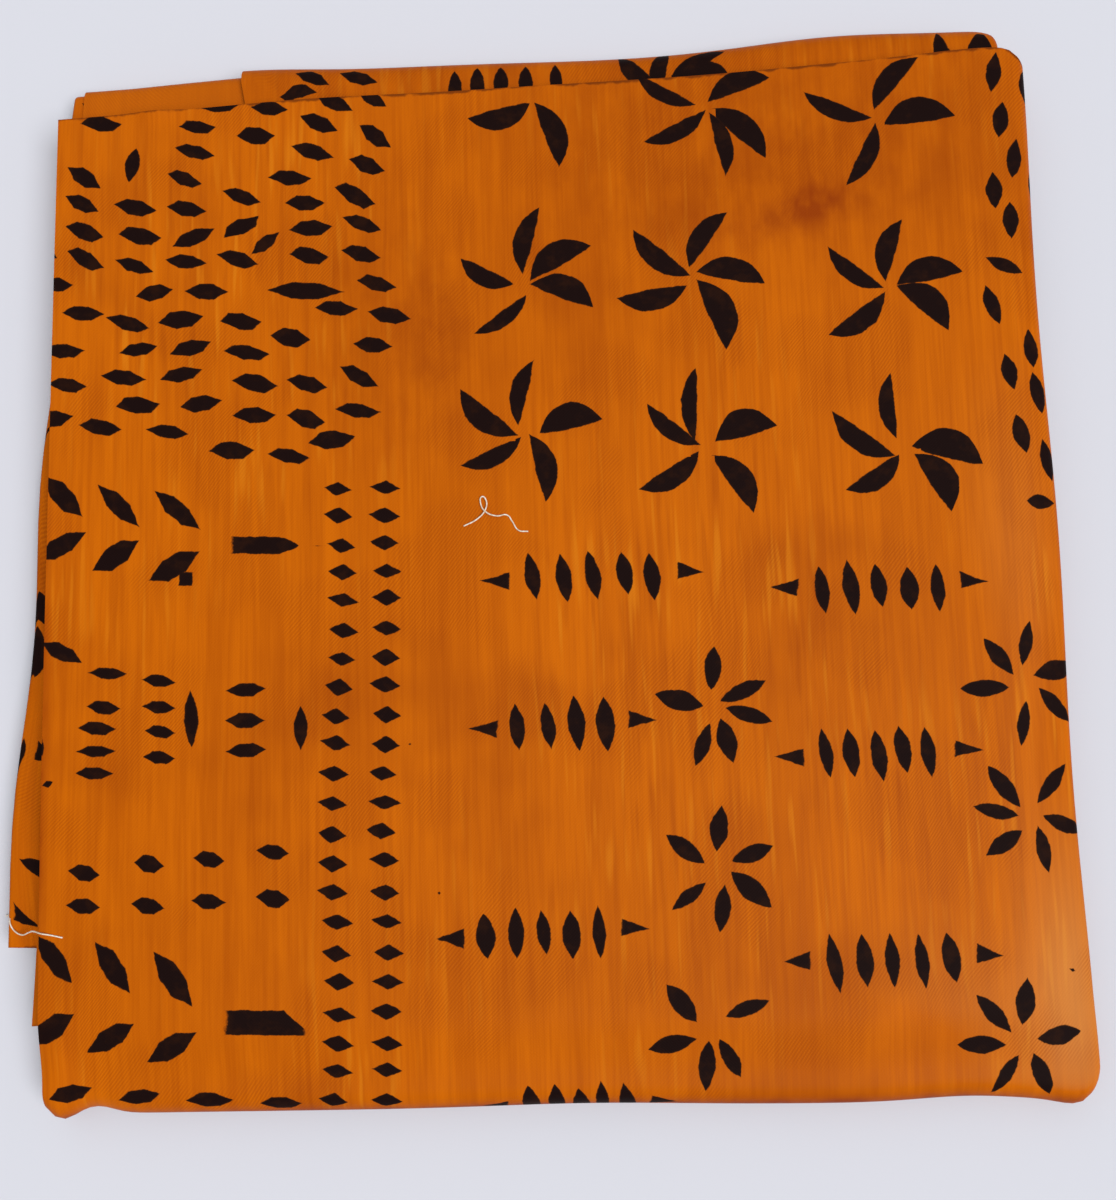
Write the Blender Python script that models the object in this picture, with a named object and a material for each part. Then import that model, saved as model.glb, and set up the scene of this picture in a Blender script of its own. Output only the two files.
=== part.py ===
"""A length of hand-printed cotton, folded flat.

The cloth is one sheet. It is folded in four across its width, selvedges to the
left, and the band this gives is folded in three along its length: a top run
that shows, a base run on the ground, and an inner run tucked between the two.
+X runs to the right, +Y away from the viewer's side and +Z up. The origin is
under the middle of the pile, at the height of the ground.
"""

import math
from collections import namedtuple

import bmesh
import bpy

# Driving sizes, in metres
PILE_WIDTH = 0.285
PILE_LENGTH = 0.304
SHEET = 0.0010
GAP = 0.0004
PITCH = SHEET + GAP
LAYERS = 4

# Heights of the innermost layer of each run
BASE_HEIGHT = SHEET / 2 + (LAYERS - 1) * PITCH
INNER_HEIGHT = BASE_HEIGHT + PITCH
TOP_HEIGHT = INNER_HEIGHT + LAYERS * PITCH

# Radii of the two folds across the band, at its innermost layer
NEAR_RADIUS = 0.0019
FAR_RADIUS = (INNER_HEIGHT - BASE_HEIGHT) / 2
OUTER_REACH = (LAYERS - 1) * PITCH + SHEET / 2

# From a bend's outermost place to its middle. The two right bends share one
# middle, so that the inner one lies within the outer one.
RIGHT_BEND_REACH = 1.5 * PITCH + SHEET / 2
LEFT_BEND_REACH = 0.5 * PITCH + SHEET / 2

# The lines of the open front and the two folds, against a square pile
FRONT_SETBACK = 0.0127
FRONT_SLOPE = math.tan(math.radians(3.2))
FAR_SLOPE = math.tan(math.radians(2.0))
NEAR_SLOPE = math.tan(math.radians(-0.8))

# The top run settles beside the inner run and past the inner run's open end
SETTLE_LENGTH = 0.020
SHOULDER_WIDTH = 0.024
SHOULDER_CLEARANCE = 0.002
SHOULDER_DROP_FAR = 0.0016
SHOULDER_DROP_NEAR = 0.0046

# The top run's soft swell: its height, its two wavelengths and its start across
TOP_SWELL = 0.0007
SWELL_ACROSS = 0.19
SWELL_ALONG = 0.23
SWELL_START = 0.7

# Segments of the mesh along each stretch
FLAT_STEPS = 7
SHOULDER_STEPS = 3
OUTER_BEND_STEPS = 8
SMALL_BEND_STEPS = 5
TOP_STEPS = 6
SETTLE_STEPS = 4
FOLD_STEPS = 7
BASE_STEPS = 5
INNER_STEPS = 6

# Across the width: each free edge or bend, the level of the layer that leaves it
# (0 is innermost), how far it stands from the pile's left side at the open front,
# the near fold, the far fold and the inner end, and how far short of the front
# line and of the near fold the cloth is cut there.
Turn = namedtuple("Turn", "name level front near far inner front_cut inner_cut")
TURNS = (
    Turn("upper_selvedge", 3, 0.0006, 0.0008, 0.0525, 0.1000, 0.0000, 0.0255),
    Turn("outer_bend", 0, 0.2842, 0.2850, 0.2790, 0.2630, 0.0020, 0.0350),
    Turn("left_bend", 1, 0.0035, 0.0030, 0.0018, -0.0128, 0.0035, 0.0465),
    Turn("inner_bend", 2, 0.2842, 0.2850, 0.2790, 0.2630, 0.0030, 0.0360),
    Turn("under_selvedge", None, 0.0040, 0.0040, 0.0052, -0.0046, 0.0015, 0.0255),
)

# Uneven places of the three lines: which line, where along the width, how far it
# draws in there (less than nothing where it swells out), and over what spread.
Dent = namedtuple("Dent", "line centre depth spread")
DENTS = (
    Dent("near", -0.0020, 0.0034, 0.0035),
    Dent("near", 0.0045, -0.0016, 0.0040),
    Dent("near", 0.0140, 0.0019, 0.0060),
    Dent("near", 0.1480, 0.0009, 0.0350),
    Dent("near", 0.2510, 0.0014, 0.0190),
    Dent("near", 0.2790, -0.0012, 0.0070),
    Dent("near", 0.2875, 0.0068, 0.0042),
    Dent("front", 0.0750, -0.0009, 0.0300),
    Dent("front", 0.1900, 0.0010, 0.0400),
    Dent("front", 0.2700, -0.0012, 0.0200),
    Dent("front", 0.2890, 0.0105, 0.0060),
    Dent("far", 0.0550, -0.0018, 0.0250),
    Dent("far", 0.1700, 0.0018, 0.0450),
    Dent("far", 0.2300, -0.0016, 0.0300),
    Dent("far", 0.2880, 0.0090, 0.0075),
)

# Uneven sides: the slow wave down each side, with its reach, its number of waves
# per pile and its phase
Wave = namedtuple("Wave", "reach waves phase")
SIDE_WAVES = {
    "upper_selvedge": Wave(0.0008, 0.5, 3.4),
    "outer_bend": Wave(0.0006, 2.1, 1.1),
    "left_bend": Wave(0.0010, 2.6, 2.3),
    "inner_bend": Wave(0.0006, 2.1, 1.1),
    "under_selvedge": Wave(0.0005, 1.9, 0.9),
}

# The cloth's finish
COTTON_COLOUR = (0.54, 0.12, 0.008, 1.0)
COTTON_ROUGHNESS = 0.72

# A point of the section: the turn before it, how far it is towards the next turn
# (nothing on a bend), how many levels it stands out from its bend's middle, the
# direction that the printed side faces there, and its level.
Point = namedtuple("Point", "turn share level_shift side_x side_out level")
# A place along the band: the stretch it is on and how far along that stretch
Station = namedtuple("Station", "stretch share")


def mix(first, second, share):
    """The value a share of the way from the first to the second."""
    return first + (second - first) * share


def smooth(share):
    """A share from 0 to 1, eased at both ends."""
    share = min(max(share, 0.0), 1.0)
    return share * share * (3.0 - 2.0 * share)


def dents(line, across):
    """How far one of the fold lines draws in at a place across the width."""
    return sum(
        dent.depth * math.exp(-(((across - dent.centre) / dent.spread) ** 2))
        for dent in DENTS
        if dent.line == line
    )


def front_line(across):
    """Where the open front of the top run lies."""
    middle = across - PILE_WIDTH / 2
    return PILE_LENGTH - FRONT_SETBACK + FRONT_SLOPE * middle - dents("front", across)


def near_line(across):
    """Where the innermost layer starts to turn at the near fold."""
    middle = across - PILE_WIDTH / 2
    return NEAR_RADIUS + OUTER_REACH + NEAR_SLOPE * middle + dents("near", across)


def far_line(across):
    """Where the innermost layer starts to turn at the far fold."""
    middle = across - PILE_WIDTH / 2
    reach = FAR_RADIUS + OUTER_REACH
    return PILE_LENGTH - reach + FAR_SLOPE * middle - dents("far", across)


def side_place(turn, station):
    """How far across a turn of the section stands at a station of the band."""
    ends = {
        "top": (turn.front, turn.near, 1.0, 0.0),
        "near_fold": (turn.near, turn.near, 0.0, 0.0),
        "base": (turn.near, turn.far, 0.0, 1.0),
        "far_fold": (turn.far, turn.far, 1.0, 1.0),
        "inner": (turn.far, turn.inner, 1.0, 0.0),
    }
    start, end, start_y, end_y = ends[station.stretch]
    wave = SIDE_WAVES[turn.name]
    length_share = mix(start_y, end_y, station.share)
    shift = wave.reach * math.sin(math.tau * wave.waves * length_share + wave.phase)
    return mix(start, end, station.share) + shift


def inner_right_side(length):
    """How far across the inner run reaches, at a distance along the pile."""
    bend = TURNS[1]
    return mix(bend.inner, bend.far, length / PILE_LENGTH)


def shoulder_drop(across, length):
    """How far the top run hangs down past the inner run's right side."""
    start = inner_right_side(length) + SHOULDER_CLEARANCE
    share = smooth((across - start) / (PILE_WIDTH + PITCH - start))
    return share * mix(SHOULDER_DROP_NEAR, SHOULDER_DROP_FAR, length / PILE_LENGTH)


def top_height(across, length):
    """Height of the top run's innermost layer."""
    settled_height = BASE_HEIGHT + 2 * NEAR_RADIUS
    settled = 1.0 - smooth((length - near_line(across)) / SETTLE_LENGTH)
    across_wave = math.sin(math.tau * across / SWELL_ACROSS + SWELL_START)
    along_wave = math.sin(math.tau * length / SWELL_ALONG)
    swell = TOP_SWELL * (1.0 + across_wave * along_wave) / 2
    loose = TOP_HEIGHT + swell - shoulder_drop(across, length)
    return mix(loose, settled_height, settled)


def bend_points(index, steps):
    """The points round one bend of the section."""
    before, after = TURNS[index - 1].level, TURNS[index].level
    heading = 1 if index % 2 else -1
    rise = 1 if after > before else -1
    centre, radius = (before + after) / 2, abs(after - before) / 2
    points = []
    for step in range(steps + 1):
        angle = math.pi * step / steps
        points.append(
            Point(
                TURNS[index],
                None,
                heading * radius * math.sin(angle),
                -rise * math.sin(angle),
                heading * math.cos(angle),
                centre - rise * radius * math.cos(angle),
            )
        )
    return points


def layer_shares():
    """How far along a layer each of its inner points lies, left to right."""
    flat_share = 1.0 - SHOULDER_WIDTH / PILE_WIDTH
    shares = [
        flat_share * (1.0 - math.cos(math.pi * step / FLAT_STEPS)) / 2
        for step in range(FLAT_STEPS + 1)
    ]
    shares += [
        mix(flat_share, 1.0, step / SHOULDER_STEPS) for step in range(1, SHOULDER_STEPS + 1)
    ]
    return shares


def section_points():
    """The section of the band, from the upper selvedge round to the other."""
    points = []
    shares = layer_shares()
    for index in range(LAYERS):
        heading = 1 if index % 2 == 0 else -1
        along = shares if heading > 0 else [1.0 - share for share in reversed(shares)]
        level = TURNS[index].level
        first = 0 if index == 0 else 1
        last = len(along) if index == LAYERS - 1 else len(along) - 1
        for share in along[first:last]:
            points.append(Point(TURNS[index], share, 0.0, 0.0, heading, level))
        if index < LAYERS - 1:
            steps = OUTER_BEND_STEPS if index == 0 else SMALL_BEND_STEPS
            points += bend_points(index + 1, steps)
    return points


def bend_centre(index, station):
    """How far across the middle of a turn's bend stands; a free edge has none."""
    turn = TURNS[index]
    place = side_place(turn, station)
    if index == 0 or index == LAYERS:
        return place
    return place - RIGHT_BEND_REACH if index % 2 else place + LEFT_BEND_REACH


def across_of(point, station):
    """How far across a section point stands at a station."""
    index = TURNS.index(point.turn)
    here = bend_centre(index, station)
    if point.share is None:
        return here + point.level_shift * PITCH
    return mix(here, bend_centre(index + 1, station), point.share)


def cuts_of(point):
    """How far short the cloth is cut at the front and at the inner end."""
    index = TURNS.index(point.turn)
    if point.share is None:
        return point.turn.front_cut, point.turn.inner_cut
    following = TURNS[index + 1]
    return (
        mix(point.turn.front_cut, following.front_cut, point.share),
        mix(point.turn.inner_cut, following.inner_cut, point.share),
    )


def stations():
    """The places along the band, from the open front to the inner end."""
    found = []
    settle_share = 1.0 - SETTLE_LENGTH / PILE_LENGTH
    for step in range(TOP_STEPS + 1):
        found.append(Station("top", settle_share * step / TOP_STEPS))
    for step in range(1, SETTLE_STEPS + 1):
        found.append(Station("top", mix(settle_share, 1.0, step / SETTLE_STEPS)))
    for stretch, steps in (
        ("near_fold", FOLD_STEPS),
        ("base", BASE_STEPS),
        ("far_fold", FOLD_STEPS),
        ("inner", INNER_STEPS),
    ):
        for step in range(1, steps + 1):
            found.append(Station(stretch, step / steps))
    return found


def place(point, station, side):
    """A point of the cloth's surface; side is 1 for the printed face, else -1."""
    half = side * SHEET / 2
    across = across_of(point, station)
    out = point.level * PITCH + half * point.side_out
    front_cut, inner_cut = cuts_of(point)
    near, far = near_line(across), far_line(across)
    angle = math.pi * station.share
    if station.stretch == "top":
        length = mix(front_line(across) - front_cut, near, station.share)
        height = top_height(across, length) + out
    elif station.stretch == "near_fold":
        length = near - (NEAR_RADIUS + out) * math.sin(angle)
        height = BASE_HEIGHT + NEAR_RADIUS + (NEAR_RADIUS + out) * math.cos(angle)
    elif station.stretch == "base":
        length = mix(near, far, station.share)
        height = BASE_HEIGHT - out
    elif station.stretch == "far_fold":
        length = far + (FAR_RADIUS + out) * math.sin(angle)
        height = BASE_HEIGHT + FAR_RADIUS - (FAR_RADIUS + out) * math.cos(angle)
    else:
        length = mix(far, inner_cut, station.share)
        height = INNER_HEIGHT + out
    return across + half * point.side_x, length, height


def cloth_mesh():
    """The closed skin of the folded sheet, on its two faces and its four edges."""
    points, places = section_points(), stations()
    mesh = bmesh.new()
    grids = {
        side: [
            [mesh.verts.new(place(point, station, side)) for station in places]
            for point in points
        ]
        for side in (1, -1)
    }
    last_point, last_place = len(points) - 1, len(places) - 1
    for side, grid in grids.items():
        for i in range(last_point):
            for j in range(last_place):
                corners = [grid[i][j], grid[i][j + 1], grid[i + 1][j + 1], grid[i + 1][j]]
                mesh.faces.new(corners if side > 0 else corners[::-1])
    face, back = grids[1], grids[-1]
    for i in range(last_point):
        for j in (0, last_place):
            mesh.faces.new([face[i][j], face[i + 1][j], back[i + 1][j], back[i][j]])
    for j in range(last_place):
        for i in (0, last_point):
            mesh.faces.new([face[i][j + 1], face[i][j], back[i][j], back[i][j + 1]])
    bmesh.ops.recalc_face_normals(mesh, faces=mesh.faces)
    return mesh


def centre_on_ground(mesh):
    """Puts the origin under the middle of the pile, on the ground."""
    lows = [min(vert.co[axis] for vert in mesh.verts) for axis in range(3)]
    highs = [max(vert.co[axis] for vert in mesh.verts) for axis in range(3)]
    shift = (-(lows[0] + highs[0]) / 2, -(lows[1] + highs[1]) / 2, -lows[2])
    bmesh.ops.translate(mesh, vec=shift, verts=mesh.verts)


def cotton_material():
    """Golden rust cotton with a slight sheen."""
    material = bpy.data.materials.new("printed_cotton")
    material.use_nodes = True
    shader = material.node_tree.nodes["Principled BSDF"]
    shader.inputs["Base Color"].default_value = COTTON_COLOUR
    shader.inputs["Roughness"].default_value = COTTON_ROUGHNESS
    return material


def build_cloth():
    """The whole folded cloth as one object."""
    shape = cloth_mesh()
    centre_on_ground(shape)
    data = bpy.data.meshes.new("folded_cloth")
    shape.to_mesh(data)
    shape.free()
    data.materials.append(cotton_material())
    cloth = bpy.data.objects.new("folded_cloth", data)
    bpy.context.scene.collection.objects.link(cloth)


for old in list(bpy.data.objects):
    bpy.data.objects.remove(old)
build_cloth()
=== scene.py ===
"""The looks of a folded length of hand-printed cotton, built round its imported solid.

The cloth is one thin sheet on the solid's own folds. It carries two flat
coordinates, across and along the cut length, and its weave, dye and printed
motifs follow them round every fold. Lengths are in metres. Pile coordinates
run from the pile's left side and from the middle of its near fold, and they
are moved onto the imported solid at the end.
"""

import functools
import logging
import math
import random
from dataclasses import dataclass, field, replace
from enum import Enum
from typing import Callable, Iterable, Optional, Sequence

import bpy
import numpy as np
from mathutils import Matrix, Vector
from mathutils.bvhtree import BVHTree


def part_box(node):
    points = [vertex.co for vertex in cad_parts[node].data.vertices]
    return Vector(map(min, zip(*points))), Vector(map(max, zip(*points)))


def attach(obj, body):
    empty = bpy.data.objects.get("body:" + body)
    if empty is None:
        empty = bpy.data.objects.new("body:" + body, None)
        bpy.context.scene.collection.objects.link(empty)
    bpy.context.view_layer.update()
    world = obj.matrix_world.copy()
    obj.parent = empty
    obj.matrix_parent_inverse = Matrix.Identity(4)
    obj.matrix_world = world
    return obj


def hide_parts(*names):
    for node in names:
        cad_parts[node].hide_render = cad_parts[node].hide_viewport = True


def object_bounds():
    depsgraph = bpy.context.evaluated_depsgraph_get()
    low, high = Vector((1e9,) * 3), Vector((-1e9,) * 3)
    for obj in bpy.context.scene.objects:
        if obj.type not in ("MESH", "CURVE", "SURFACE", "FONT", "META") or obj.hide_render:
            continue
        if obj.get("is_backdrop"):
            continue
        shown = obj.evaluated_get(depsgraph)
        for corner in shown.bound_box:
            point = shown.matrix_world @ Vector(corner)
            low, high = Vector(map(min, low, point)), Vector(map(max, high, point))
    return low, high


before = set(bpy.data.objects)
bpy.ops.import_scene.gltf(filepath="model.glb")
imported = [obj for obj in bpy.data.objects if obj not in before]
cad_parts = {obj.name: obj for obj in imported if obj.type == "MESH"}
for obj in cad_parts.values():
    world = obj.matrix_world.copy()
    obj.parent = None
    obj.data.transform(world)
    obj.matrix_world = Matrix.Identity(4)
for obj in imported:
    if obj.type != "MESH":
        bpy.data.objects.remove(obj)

Number = float | np.ndarray
Socket = bpy.types.NodeSocket
Value = float | bpy.types.NodeSocket
Colour = tuple[float, float, float, float]

log = logging.getLogger("folded_cotton")

CAD_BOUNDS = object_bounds()
CLOTH_NODE = "folded_cloth"
MM = 0.001

# What the cloth's mesh stores for its material: the flat coordinates, the two
# nearest motifs, the distance from the cut ends, the printed face, the dye blotches
# with the painted shade and painted sheen
FLAT_MAP = "cloth_flat"
MOTIF_PLACE = ("motif_place", "second_motif_place")
MOTIF_KIND = ("motif_kind", "second_motif_kind")
EDGE_GAP = "edge_gap"
PRINT_SIDE = "print_side"
DYE_AND_LIGHT_DEPTH = "dye_and_light_depth"

# The inputs of node groups that are vectors
VECTOR_INPUTS = ("Flat", "Place")

# How far the panels' own motifs keep clear of the strip beyond the open front
STRIP_CLEAR = 0.012

# The tints that the dye has over its golden ground; DEEP also colours the painted shade
RUST: Colour = (0.440, 0.088, 0.0004, 1.0)
DEEP: Colour = (0.270, 0.040, 0.0006, 1.0)
PALE: Colour = (0.640, 0.185, 0.0050, 1.0)


def mix(first: Number, second: Number, share: Number) -> Number:
    """The value a share of the way from the first to the second."""
    return first + (second - first) * share


def smooth(share: Number) -> Number:
    """A share held to 0 to 1 and eased at both ends."""
    share = np.clip(share, 0.0, 1.0)
    return share * share * (3.0 - 2.0 * share)


def store(mesh: bpy.types.Mesh, name: str, values: np.ndarray, domain: str = "CORNER",
          kind: str = "FLOAT") -> None:
    """Stores values on a mesh, for its material.

    Args:
        mesh: the mesh.
        name: the name that they are stored under.
        values: one value, or one row of three, for each corner or face.
        domain: what they belong to.
        kind: the kind of value.
    """
    attribute = mesh.attributes.new(name, kind, domain)
    slot = "vector" if kind == "FLOAT_VECTOR" else "value"
    attribute.data.foreach_set(slot, values.astype(np.float32).ravel())


class Line(Enum):
    """The three lines across the pile that the folds draw."""

    FRONT = "front"
    NEAR = "near"
    FAR = "far"


class Stretch(Enum):
    """The stretches of the band, from its open front to its inner end."""

    TOP = "top"
    NEAR_FOLD = "near fold"
    BASE = "base"
    FAR_FOLD = "far fold"
    INNER = "inner"


@dataclass(frozen=True)
class Turn:
    """A free edge or a bend of the section across the width.

    The four places are how far it stands from the pile's left side at the open
    front, the near fold, the far fold and the inner end. The cuts are how far
    short of the front line and of the near fold the cloth ends there.
    """

    name: str
    level: Optional[int]
    front: float
    near: float
    far: float
    inner: float
    front_cut: float
    inner_cut: float
    wave_reach: float
    waves: float
    phase: float


@dataclass(frozen=True)
class Dent:
    """A place where one of the lines draws in, or swells out if depth is negative."""

    line: Line
    centre: float
    depth: float
    spread: float


@dataclass(frozen=True)
class Crease:
    """A soft trough or ridge of the top run, along a straight line.

    Its ends are given as across and back, the distance from the front line.
    Height is below nothing for a trough, and fade is how far it runs out at
    its ends.
    """

    name: str
    start: tuple[float, float]
    end: tuple[float, float]
    height: float
    width: float
    fade: float = 0.02


@dataclass
class FoldedBand:
    """The folds of the cloth: its section across and its path along the pile.

    The section's four layers lie one on another, the uppermost first. The band
    that they make runs from its open front over the top, round the near fold,
    back along the ground and round the far fold, and ends between the two as
    the inner run.
    """

    width: float = 0.285
    length: float = 0.304
    sheet: float = 0.0010
    thickness: float = 0.0007
    gap: float = 0.0004
    layers: int = 4
    near_radius: float = 0.0019
    front_setback: float = 0.0127
    front_slope: float = math.tan(math.radians(3.2))
    far_slope: float = math.tan(math.radians(2.0))
    near_slope: float = math.tan(math.radians(-0.8))
    settle_length: float = 0.020
    shoulder_clearance: float = 0.002
    shoulder_drop_far: float = 0.0016
    shoulder_drop_near: float = 0.0046
    swell: float = 0.0007
    swell_across: float = 0.19
    swell_along: float = 0.23
    swell_start: float = 0.7
    right_bend_reach: float = 1.5
    left_bend_reach: float = 0.5
    turns: tuple[Turn, ...] = (
        Turn("upper_selvedge", 3, 0.0006, 0.0008, 0.0525, 0.1000, 0.0000, 0.0255, 0.0008, 0.5, 3.4),
        Turn("outer_bend", 0, 0.2842, 0.2850, 0.2790, 0.2630, 0.0020, 0.0350, 0.0006, 2.1, 1.1),
        Turn("left_bend", 1, 0.0035, 0.0030, 0.0018, -0.0128, 0.0035, 0.0465, 0.0010, 2.6, 2.3),
        Turn("inner_bend", 2, 0.2842, 0.2850, 0.2790, 0.2630, 0.0030, 0.0360, 0.0006, 2.1, 1.1),
        Turn("under_selvedge", None, 0.0040, 0.0040, 0.0052, -0.0046, 0.0015, 0.0255, 0.0005, 1.9, 0.9),
    )
    dents: tuple[Dent, ...] = (
        Dent(Line.NEAR, -0.0020, 0.0034, 0.0035),
        Dent(Line.NEAR, 0.0045, -0.0016, 0.0040),
        Dent(Line.NEAR, 0.0140, 0.0019, 0.0060),
        Dent(Line.NEAR, 0.1480, 0.0009, 0.0350),
        Dent(Line.NEAR, 0.2510, 0.0014, 0.0190),
        Dent(Line.NEAR, 0.2790, -0.0012, 0.0070),
        Dent(Line.NEAR, 0.2875, 0.0068, 0.0042),
        Dent(Line.FRONT, 0.0750, -0.0009, 0.0300),
        Dent(Line.FRONT, 0.1900, 0.0010, 0.0400),
        Dent(Line.FRONT, 0.2700, -0.0012, 0.0200),
        Dent(Line.FRONT, 0.2890, 0.0105, 0.0060),
        Dent(Line.FAR, 0.0550, -0.0018, 0.0250),
        Dent(Line.FAR, 0.1700, 0.0018, 0.0450),
        Dent(Line.FAR, 0.2300, -0.0016, 0.0300),
        Dent(Line.FAR, 0.2880, 0.0090, 0.0075),
    )
    creases: tuple[Crease, ...] = (
        Crease("shoulder line", (0.2700, 0.010), (0.2740, 0.215), -0.00030, 0.0022, 0.030),
        Crease("old quarter fold", (0.0930, 0.020), (0.0950, 0.120), 0.00030, 0.0050, 0.030),
        Crease("near pucker", (0.0135, 0.262), (0.0125, 0.300), 0.00060, 0.0035, 0.012),
        Crease("near pucker", (0.0240, 0.268), (0.0225, 0.300), -0.00045, 0.0030, 0.012),
        Crease("near pucker", (0.0330, 0.275), (0.0310, 0.300), 0.00035, 0.0032, 0.010),
        Crease("slack across", (0.1650, 0.052), (0.2350, 0.030), 0.00035, 0.0090, 0.020),
        Crease("slack across", (0.0500, 0.112), (0.1250, 0.118), -0.00022, 0.0060, 0.025),
    )
    curl_place: float = 0.029
    curl_reach: float = 0.007
    curl_height: float = 0.0011
    curl_depth: float = 0.0045
    pitch: float = field(init=False)
    base_height: float = field(init=False)
    inner_height: float = field(init=False)
    top_height: float = field(init=False)
    far_radius: float = field(init=False)
    outer_reach: float = field(init=False)
    front_middle: float = field(init=False)

    def __post_init__(self) -> None:
        """Works out the heights of the runs from the sheet and the gap."""
        self.pitch = self.sheet + self.gap
        self.base_height = self.sheet / 2 + (self.layers - 1) * self.pitch
        self.inner_height = self.base_height + self.pitch
        self.top_height = self.inner_height + self.layers * self.pitch
        self.far_radius = (self.inner_height - self.base_height) / 2
        self.outer_reach = (self.layers - 1) * self.pitch + self.sheet / 2
        self.front_middle = self.length - self.front_setback

    def dented(self, line: Line, across: np.ndarray) -> np.ndarray:
        """How far one of the lines draws in.

        Args:
            line: which line.
            across: places across the pile.

        Returns:
            The draw at each place.
        """
        drawn = np.zeros_like(across)
        for dent in self.dents:
            if dent.line is line:
                drawn += dent.depth * np.exp(-(((across - dent.centre) / dent.spread) ** 2))
        return drawn

    def front_line(self, across: np.ndarray) -> np.ndarray:
        """Where the open front of the top run lies along the pile."""
        middle = across - self.width / 2
        return self.front_middle + self.front_slope * middle - self.dented(Line.FRONT, across)

    def near_line(self, across: np.ndarray) -> np.ndarray:
        """Where the innermost layer starts to turn at the near fold.

        Args:
            across: places across the pile.

        Returns:
            The distance from the near fold's middle.
        """
        middle = across - self.width / 2
        reach = self.near_radius + self.outer_reach
        return reach + self.near_slope * middle + self.dented(Line.NEAR, across)

    def far_line(self, across: np.ndarray) -> np.ndarray:
        """Where the innermost layer starts to turn at the far fold.

        Args:
            across: places across the pile.

        Returns:
            The distance from the near fold's middle.
        """
        middle = across - self.width / 2
        reach = self.far_radius + self.outer_reach
        return self.length - reach + self.far_slope * middle - self.dented(Line.FAR, across)

    def side_place(self, index: int, stretch: Stretch, share: float) -> float:
        """How far across a turn of the section stands.

        Args:
            index: which turn.
            stretch: the stretch of the band.
            share: how far along that stretch.

        Returns:
            The distance from the pile's left side.
        """
        turn = self.turns[index]
        start, end, start_y, end_y = {
            Stretch.TOP: (turn.front, turn.near, 1.0, 0.0),
            Stretch.NEAR_FOLD: (turn.near, turn.near, 0.0, 0.0),
            Stretch.BASE: (turn.near, turn.far, 0.0, 1.0),
            Stretch.FAR_FOLD: (turn.far, turn.far, 1.0, 1.0),
            Stretch.INNER: (turn.far, turn.inner, 1.0, 0.0),
        }[stretch]
        angle = math.tau * turn.waves * mix(start_y, end_y, share) + turn.phase
        return mix(start, end, share) + turn.wave_reach * math.sin(angle)

    def bend_centre(self, index: int, stretch: Stretch, share: float) -> float:
        """How far across the middle of a turn's bend stands; a free edge has none.

        Args:
            index: which turn.
            stretch: the stretch of the band.
            share: how far along that stretch.

        Returns:
            The distance from the pile's left side.
        """
        place = self.side_place(index, stretch, share)
        if index in (0, self.layers):
            return place
        if index % 2:
            return place - self.right_bend_reach * self.pitch - self.sheet / 2
        return place + self.left_bend_reach * self.pitch + self.sheet / 2

    def crease_lift(self, across: np.ndarray, length: np.ndarray) -> np.ndarray:
        """How far the creases lift the top run, by place.

        Args:
            across: places across the pile.
            length: places along it.

        Returns:
            The lift at each place, below nothing in a trough.
        """
        back = self.front_middle - length
        lift = np.zeros_like(across)
        for crease in self.creases:
            run = np.subtract(crease.end, crease.start)
            span = float(np.hypot(*run))
            step_across, step_back = run / span
            from_start = across - crease.start[0], back - crease.start[1]
            along = from_start[0] * step_across + from_start[1] * step_back
            aside = from_start[0] * step_back - from_start[1] * step_across
            ends = smooth(along / crease.fade) * smooth((span - along) / crease.fade)
            lift += crease.height * ends * np.exp(-((aside / crease.width) ** 2))
        return lift

    def top_surface(self, across: np.ndarray, length: np.ndarray) -> np.ndarray:
        """Height of the top run's innermost layer, by place.

        Args:
            across: places across the pile.
            length: places along it.

        Returns:
            The height above the ground.
        """
        bend = self.turns[1]
        edge = mix(bend.inner, bend.far, length / self.length) + self.shoulder_clearance
        share = smooth((across - edge) / (self.width + self.pitch - edge))
        drop = share * mix(self.shoulder_drop_near, self.shoulder_drop_far, length / self.length)
        settled = 1.0 - smooth((length - self.near_line(across)) / self.settle_length)
        wave = np.sin(math.tau * across / self.swell_across + self.swell_start)
        wave = wave * np.sin(math.tau * length / self.swell_along)
        loose = self.top_height + self.swell * (0.5 + 0.5 * wave) - drop
        loose = loose + self.crease_lift(across, length)
        return mix(loose, self.base_height + 2 * self.near_radius, settled)

    def front_curl(self, across: np.ndarray, back: np.ndarray) -> np.ndarray:
        """How far the cut edge of the uppermost layer curls up, by place."""
        beside = np.exp(-(((across - self.curl_place) / self.curl_reach) ** 2))
        return self.curl_height * beside * smooth(1.0 - back / self.curl_depth) ** 2


@dataclass
class Section:
    """The points of the section across the band, as columns.

    Shares run from turn to turn along a layer, and are not numbers round a bend.
    """

    turn: list[int] = field(default_factory=list)
    share: list[Optional[float]] = field(default_factory=list)
    shift: list[float] = field(default_factory=list)
    side_x: list[float] = field(default_factory=list)
    side_out: list[float] = field(default_factory=list)
    level: list[float] = field(default_factory=list)

    def add(self, turn: int, share: Optional[float], shift: float,
            side: tuple[float, float], level: float) -> None:
        """Adds one point.

        Args:
            turn: the turn that it lies at or follows.
            share: how far it lies towards the next turn, if not round a bend.
            shift: how far it stands from its bend's middle, in layers.
            side: which way the printed face looks, across and outwards.
            level: how many layers out it lies.
        """
        self.turn.append(turn)
        self.share.append(share)
        self.shift.append(shift)
        self.side_x.append(side[0])
        self.side_out.append(side[1])
        self.level.append(level)


@dataclass(frozen=True)
class DyeStainAndPaintedLight:
    """A soft darker place: some are dye blotches where the dye took deeper, others painted shade.

    Those with a negative depth are paler, as painted sheen where the cloth catches the light.

    Its place and reach are in metres, across and along the cut length.
    """

    across: float
    along: float
    wide: float
    long: float
    depth: float


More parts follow.
